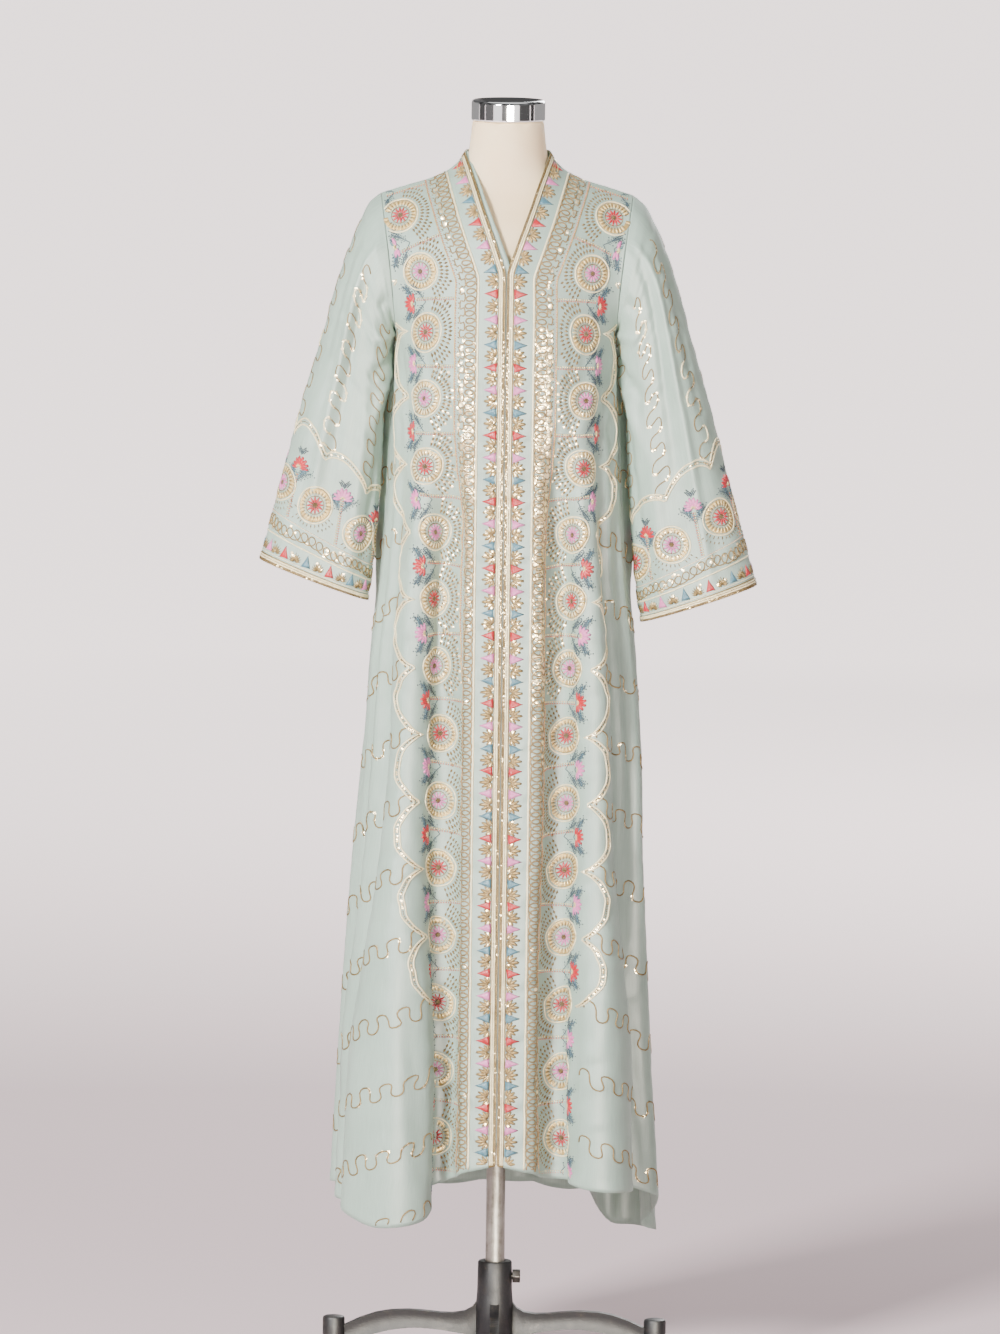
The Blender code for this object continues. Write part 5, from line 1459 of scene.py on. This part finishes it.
def iron_finish():
    """Black-painted cast iron: pebbly, with brown bare metal where it is knocked, lighter and browner on faces that
    point up and darker on faces that point down.
    """
    paint = Paint("painted_cast_iron", (0.012, 0.012, 0.013), 0.55)
    place = paint.place()
    pebble = paint.noise(place, 380.0, 5.0)
    knock = paint.noise(place, 48.0, 7.0, 0.75)
    # The colour is pushed lighter and browner on faces that point up, and darker on faces that point down.
    up = paint.node("SeparateXYZ", "Z", {"Vector": paint.node("NewGeometry", "Normal")})
    shades = ((0.52, (0.009, 0.009, 0.010)), (0.64, (0.022, 0.018, 0.016)), (0.78, (0.10, 0.072, 0.052)))
    paint.set(Base_Color=paint.ramp(paint.added(knock, up, second_share=0.10), *shades),
              Roughness=paint.spread(knock, 0.62, 0.36),
              Normal=paint.bump(pebble, 0.35, 0.0006, Normal=paint.bump(knock, 0.25, 0.0015)))
    return paint.made


def jersey_finish():
    """The form's cream jersey cover: a fine rib and a soft nap."""
    paint = Paint("cream_jersey", (0.97, 0.74, 0.45), 0.72, Sheen_Weight=0.25, Sheen_Roughness=0.5)
    place = paint.place()
    rib = paint.noise(paint.stretched(place, 1900, 1900, 700), 1.0, 2.0)
    shade = paint.noise(place, 14.0, 3.0)
    paint.set(Base_Color=paint.ramp(shade, (0.3, (0.94, 0.69, 0.39)), (0.7, (0.99, 0.79, 0.50))),
              Normal=paint.bump(rib, 0.2, 0.0004))
    return paint.made


CHROME, IRON, JERSEY = chrome_finish(), iron_finish(), jersey_finish()
STEEL = steel_finish("worn_steel_tube", (0.13, 0.11, 0.09), (0.29, 0.27, 0.235), (0.44, 0.42, 0.375))
BLACKENED = steel_finish("blackened_steel", (0.02, 0.018, 0.016), (0.05, 0.045, 0.04), (0.10, 0.09, 0.08))

turned([(TINY, 1695.2), (47.6, 1695.2), (49.0, 1696.0), (49.5, 1697.4), (49.5, 1697.9), (49.5, 1718.1),
        (49.5, 1718.6), (49.1, 1720.6), (47.9, 1722.2), (46.2, 1722.9), (24, 1723.0), (TINY, 1723.0)], 128)
settled("neck_cap_chrome", CHROME, "figure", "chrome", "neck_cap")
turned([(TINY, 66), (12.2, 66), (12.9, 66.8), (12.9, 961.2), (12.2, 962), (TINY, 962)], 72)
settled("pole_tube", STEEL, "pole", "steel", "pole")

# Along a leg: reach, top, bottom and half width
LEG_ROWS = [(16, 100, 42, 6.5), (24, 92, 43, 6.5), (30, 84, 45, 6.4), (40, 78.5, 47, 6.4), (56, 76, 50, 6.3),
            (72, 76.5, 52.5, 6.3), (86, 78, 54, 6.3), (100, 79.2, 55, 6.3), (116, 80, 55, 6.2), (140, 79, 52, 6.2),
            (160, 75.5, 47, 6.1), (182, 68, 40, 6.0), (201, 59, 31, 6.0), (213, 53, 26, 6.0)]


def cast_leg(turn):
    """One leg of the base: a bar extruded along its profile, its sides sunk between two rims."""
    bpy.ops.object.select_all(action="DESELECT")
    reach, top, bottom, rim = LEG_ROWS[0]
    here = metres(reach, 0, (top + bottom) / 2)
    bpy.ops.mesh.primitive_plane_add(size=1, location=here, rotation=(0, math.pi / 2, 0))
    bpy.ops.object.transform_apply(location=False, rotation=True, scale=False)
    edit_all()
    bpy.ops.transform.resize(value=(1, 2 * rim / 1000, (top - bottom) / 1000), center_override=here)
    for (x0, top0, low0, rim0), (x1, top1, low1, rim1) in zip(LEG_ROWS, LEG_ROWS[1:]):
        shift = metres(x1 - x0, 0, (top1 + low1 - top0 - low0) / 2)
        bpy.ops.mesh.extrude_region_move(TRANSFORM_OT_translate={"value": shift})
        bpy.ops.transform.resize(value=(1, rim1 / rim0, (top1 - low1) / (top0 - low0)),
                                 center_override=metres(x1, 0, (top1 + low1) / 2))
    bpy.ops.mesh.select_all(action="SELECT")
    bpy.ops.mesh.normals_make_consistent(inside=False)
    bpy.ops.mesh.select_all(action="DESELECT")
    obj = bpy.context.object
    bm = bmesh.from_edit_mesh(obj.data)
    for face in bm.faces:
        face.select_set(abs(face.normal.y) > 0.8)
    bmesh.update_edit_mesh(obj.data)
    bpy.ops.mesh.inset(thickness=0.0055, use_boundary=True)
    bpy.ops.transform.shrink_fatten(value=-0.0026)
    leave_edit()
    bevelled(obj, 1.3)
    edit_all()
    bpy.ops.transform.rotate(value=-turn, orient_axis="Z", center_override=(0, 0, 0))
    leave_edit()


for number in range(4):
    cast_leg(number * math.pi / 2)
    settled(f"base_leg_{number + 1}", IRON, "stand", "iron", *(["stand_base"] if number == 0 else []), angle=40)
turned([(13.1, 146), (14.2, 148), (21.6, 148), (23.0, 146), (23.6, 108), (24.4, 97), (25.0, 92), (25.0, 42),
        (23.8, 40), (14.2, 40), (13.1, 41.2), (13.1, 146)], 96)
settled("base_collar", IRON, "stand", "iron")
for number, (x, y) in enumerate([(217.5, 0), (0, 217.5), (-217.5, 0), (0, -217.5)]):
    turned([(TINY, 0), (13.4, 0), (14.8, 1.2), (15.6, 2.2), (17.0, 3.4), (17.0, 7.6), (15.6, 8.8), (14.9, 10.6),
            (14.6, 22), (15.0, 40), (15.0, 66.2), (14.0, 69.0), (11.5, 70), (TINY, 70)], 48)
    settled(f"base_foot_{number + 1}", IRON, "stand", "iron")
    edit_all()
    bpy.ops.transform.translate(value=metres(x, y, 0))
    leave_edit()


def screw_cylinder(vertices, radius, depth, x):
    bpy.ops.object.select_all(action="DESELECT")
    bpy.ops.mesh.primitive_cylinder_add(vertices=vertices, radius=radius / 1000, depth=depth / 1000,
                                        location=metres(x, 0, 127), rotation=(0, math.pi / 2, 0))
    bpy.ops.object.transform_apply(location=True, rotation=True, scale=True)
    return bpy.context.object


head = screw_cylinder(6, 9.8, 10.5, 29.15)
bevelled(head, 0.9, 3)
screw_cylinder(32, 5, 10.9, 18.5)
head.select_set(True)
bpy.context.view_layer.objects.active = head
bpy.ops.object.join()
settled("clamp_screw_steel", BLACKENED, "screw", "steel", "clamp_screw")

# The form under its jersey: its solid's shape, smoothed
bpy.ops.object.select_all(action="DESELECT")
form_solid.select_set(True)
bpy.context.view_layer.objects.active = form_solid
bpy.ops.object.duplicate()
form = bpy.context.object
edit_all()
bpy.ops.mesh.remove_doubles(threshold=0.00002)
bpy.ops.mesh.tris_convert_to_quads(face_threshold=math.radians(50), shape_threshold=math.radians(60))
leave_edit()
round_off = form.modifiers.new("round", "SUBSURF")
round_off.levels = round_off.render_levels = 2
bpy.ops.object.modifier_apply(modifier="round")
form.name = "form_cover"
form.data.materials.clear()
form.data.materials.append(JERSEY)
form.data.shade_smooth()
hard_pieces.append((form, "figure", "form", ("form_torso",)))

# Camera, floor and light
DISTANCE = 18.0
ELEVATION = math.radians(6.6)
LEAN = math.radians(0.67)
MM_PER_PIXEL = 1.3475
FRAME_HIGH = 1334 * MM_PER_PIXEL / 1000
AIM = (-0.0025, 0.0, 0.957)
bpy.ops.object.camera_add()
camera = bpy.context.object
camera.data.sensor_fit = "VERTICAL"
camera.data.sensor_height = 36.0
camera.data.lens = 36.0 * DISTANCE / FRAME_HIGH
camera.data.clip_end = 300
camera.location = Vector(AIM) + Vector((0, -math.cos(ELEVATION), math.sin(ELEVATION))) * DISTANCE
camera.rotation_mode = "QUATERNION"
level_view = Euler((math.pi / 2 - ELEVATION, 0, 0)).to_quaternion()
camera.rotation_quaternion = level_view @ Quaternion((0, 0, 1), LEAN)
bpy.context.scene.camera = camera


def floor_paint():
    """Pale studio paper with painted light: darker near the stand, a painted shade, and glowing more the farther it
    lies from the stand, a painted glow.
    """
    # The emission colour set here feeds a glow, though the paper is no lamp: painted light.
    paint = Paint("studio_floor_paint", (0.90, 0.835, 0.84), 0.9, Specular_IOR_Level=0.0,
                  Emission_Color=(1.0, 0.875, 0.86, 1))
    away = paint.node("VectorMath", "Value", {"Vector": paint.place()}, operation="LENGTH")
    near = paint.spread(away, 0.0, 1.0, 1.0, 9.0)
    # The colour is darker close to the stand (painted shade), and the glow grows with distance from it (painted
    # light).
    paint.set(Base_Color=paint.ramp(near, (0.0, (0.78, 0.62, 0.64)), (1.0, (0.94, 0.82, 0.81))),
              Emission_Strength=paint.spread(away, 0.0, 2.0, 2.6, 8.5))
    return paint.made


bpy.ops.object.select_all(action="DESELECT")
bpy.ops.mesh.primitive_grid_add(x_subdivisions=8, y_subdivisions=8, size=160)
floor = bpy.context.object
floor.name = "studio_floor"
floor.data.materials.append(floor_paint())

# Screens that only gloss sees: start and end in degrees round the stand from the front, and how bright
SCREENS = [(-178, -104, 0.42), (-102, -78, 0.10), (-76, -47, 0.20), (-46, -21, 1.9), (-20, -1, 0.22), (0, 17, 0.03),
           (18, 34, 1.9), (35, 71, 0.10), (74, 88, 0.05), (90, 178, 0.42)]
SCREEN_AWAY = 7.0


def studio_world():
    """Soft light from all round, with paler and darker patches for the metal to mirror."""
    world = bpy.data.worlds.new("studio")
    bpy.context.scene.world = world
    world.use_nodes = True
    nodes, links = world.node_tree.nodes, world.node_tree.links
    place = nodes.new("ShaderNodeTexCoord")
    flat = nodes.new("ShaderNodeMapping")
    flat.inputs["Scale"].default_value = (2.6, 2.6, 0.25)
    links.new(place.outputs["Generated"], flat.inputs["Vector"])
    noise = nodes.new("ShaderNodeTexNoise")
    noise.inputs["Scale"].default_value = 1.3
    noise.inputs["Detail"].default_value = 1.0
    links.new(flat.outputs[0], noise.inputs["Vector"])
    patches = nodes.new("ShaderNodeValToRGB")
    for element, stop, grey in zip(patches.color_ramp.elements, (0.40, 0.60), (0.04, 1.0)):
        element.position = stop
        element.color = (grey, grey * 0.98, grey * 0.98, 1)
    links.new(noise.outputs["Fac"], patches.inputs["Fac"])
    links.new(patches.outputs["Color"], nodes["Background"].inputs["Color"])
    nodes["Background"].inputs["Strength"].default_value = 0.20


def soft_light(name, place, size, power, gloss_only=False):
    bpy.ops.object.light_add(type="AREA", location=place)
    light = bpy.context.object
    light.name = f"{name}_light"
    light.data.size = size
    light.data.energy = power
    light.visible_camera = False
    light.visible_diffuse = not gloss_only
    if gloss_only:
        light.data.color = (1.0, 0.93, 0.80)
    light.rotation_mode = "QUATERNION"
    light.rotation_quaternion = (Vector((0, 0, 1.0)) - Vector(place)).to_track_quat("-Z", "Y")


studio_world()
soft_light("key", (-3.5, -5.6, 3.55), 1.4, 1130)
soft_light("fill", (3.5, -8.0, 2.2), 3.0, 110)
soft_light("front", (0.75, -6.5, 0.8), 2.2, 1500, True)
soft_light("rear", (2.0, 6.0, 3.5), 3.0, 300)
for number, (first, last, bright) in enumerate(SCREENS):
    for part, (start, end) in enumerate([(first, (first + last) / 2), ((first + last) / 2, last)]):
        turn = math.radians((start + end) / 2)
        wide = 2 * SCREEN_AWAY * math.tan(math.radians(end - start) / 2)
        bpy.ops.mesh.primitive_plane_add(
            size=1, location=(SCREEN_AWAY * math.sin(turn), -SCREEN_AWAY * math.cos(turn), 1.6),
            rotation=(math.pi / 2, 0, turn))
        screen = bpy.context.object
        screen.name = f"screen_{number + 1}_{part + 1}"
        screen.scale = (wide, 3.2, 1)
        glow = Paint(f"screen_{number + 1}", (0, 0, 0), 1.0, Emission_Strength=bright,
                     Emission_Color=(1, 0.95, 0.94, 1), Specular_IOR_Level=0.0)
        screen.data.materials.append(glow.made)
        screen.visible_camera = screen.visible_diffuse = screen.visible_shadow = False
bpy.ops.object.light_add(type="SUN", location=(0, 0, 6))
overhead = bpy.context.object
overhead.name = "overhead_light"
overhead.data.angle = math.radians(70)
overhead.data.energy = 1.0

for obj in pieces:
    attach(obj, "figure")
for name, nodes in replaced.items():
    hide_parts(*nodes)
for obj, body, slot, nodes in hard_pieces:
    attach(obj, body)
    if nodes:
        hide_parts(*nodes)
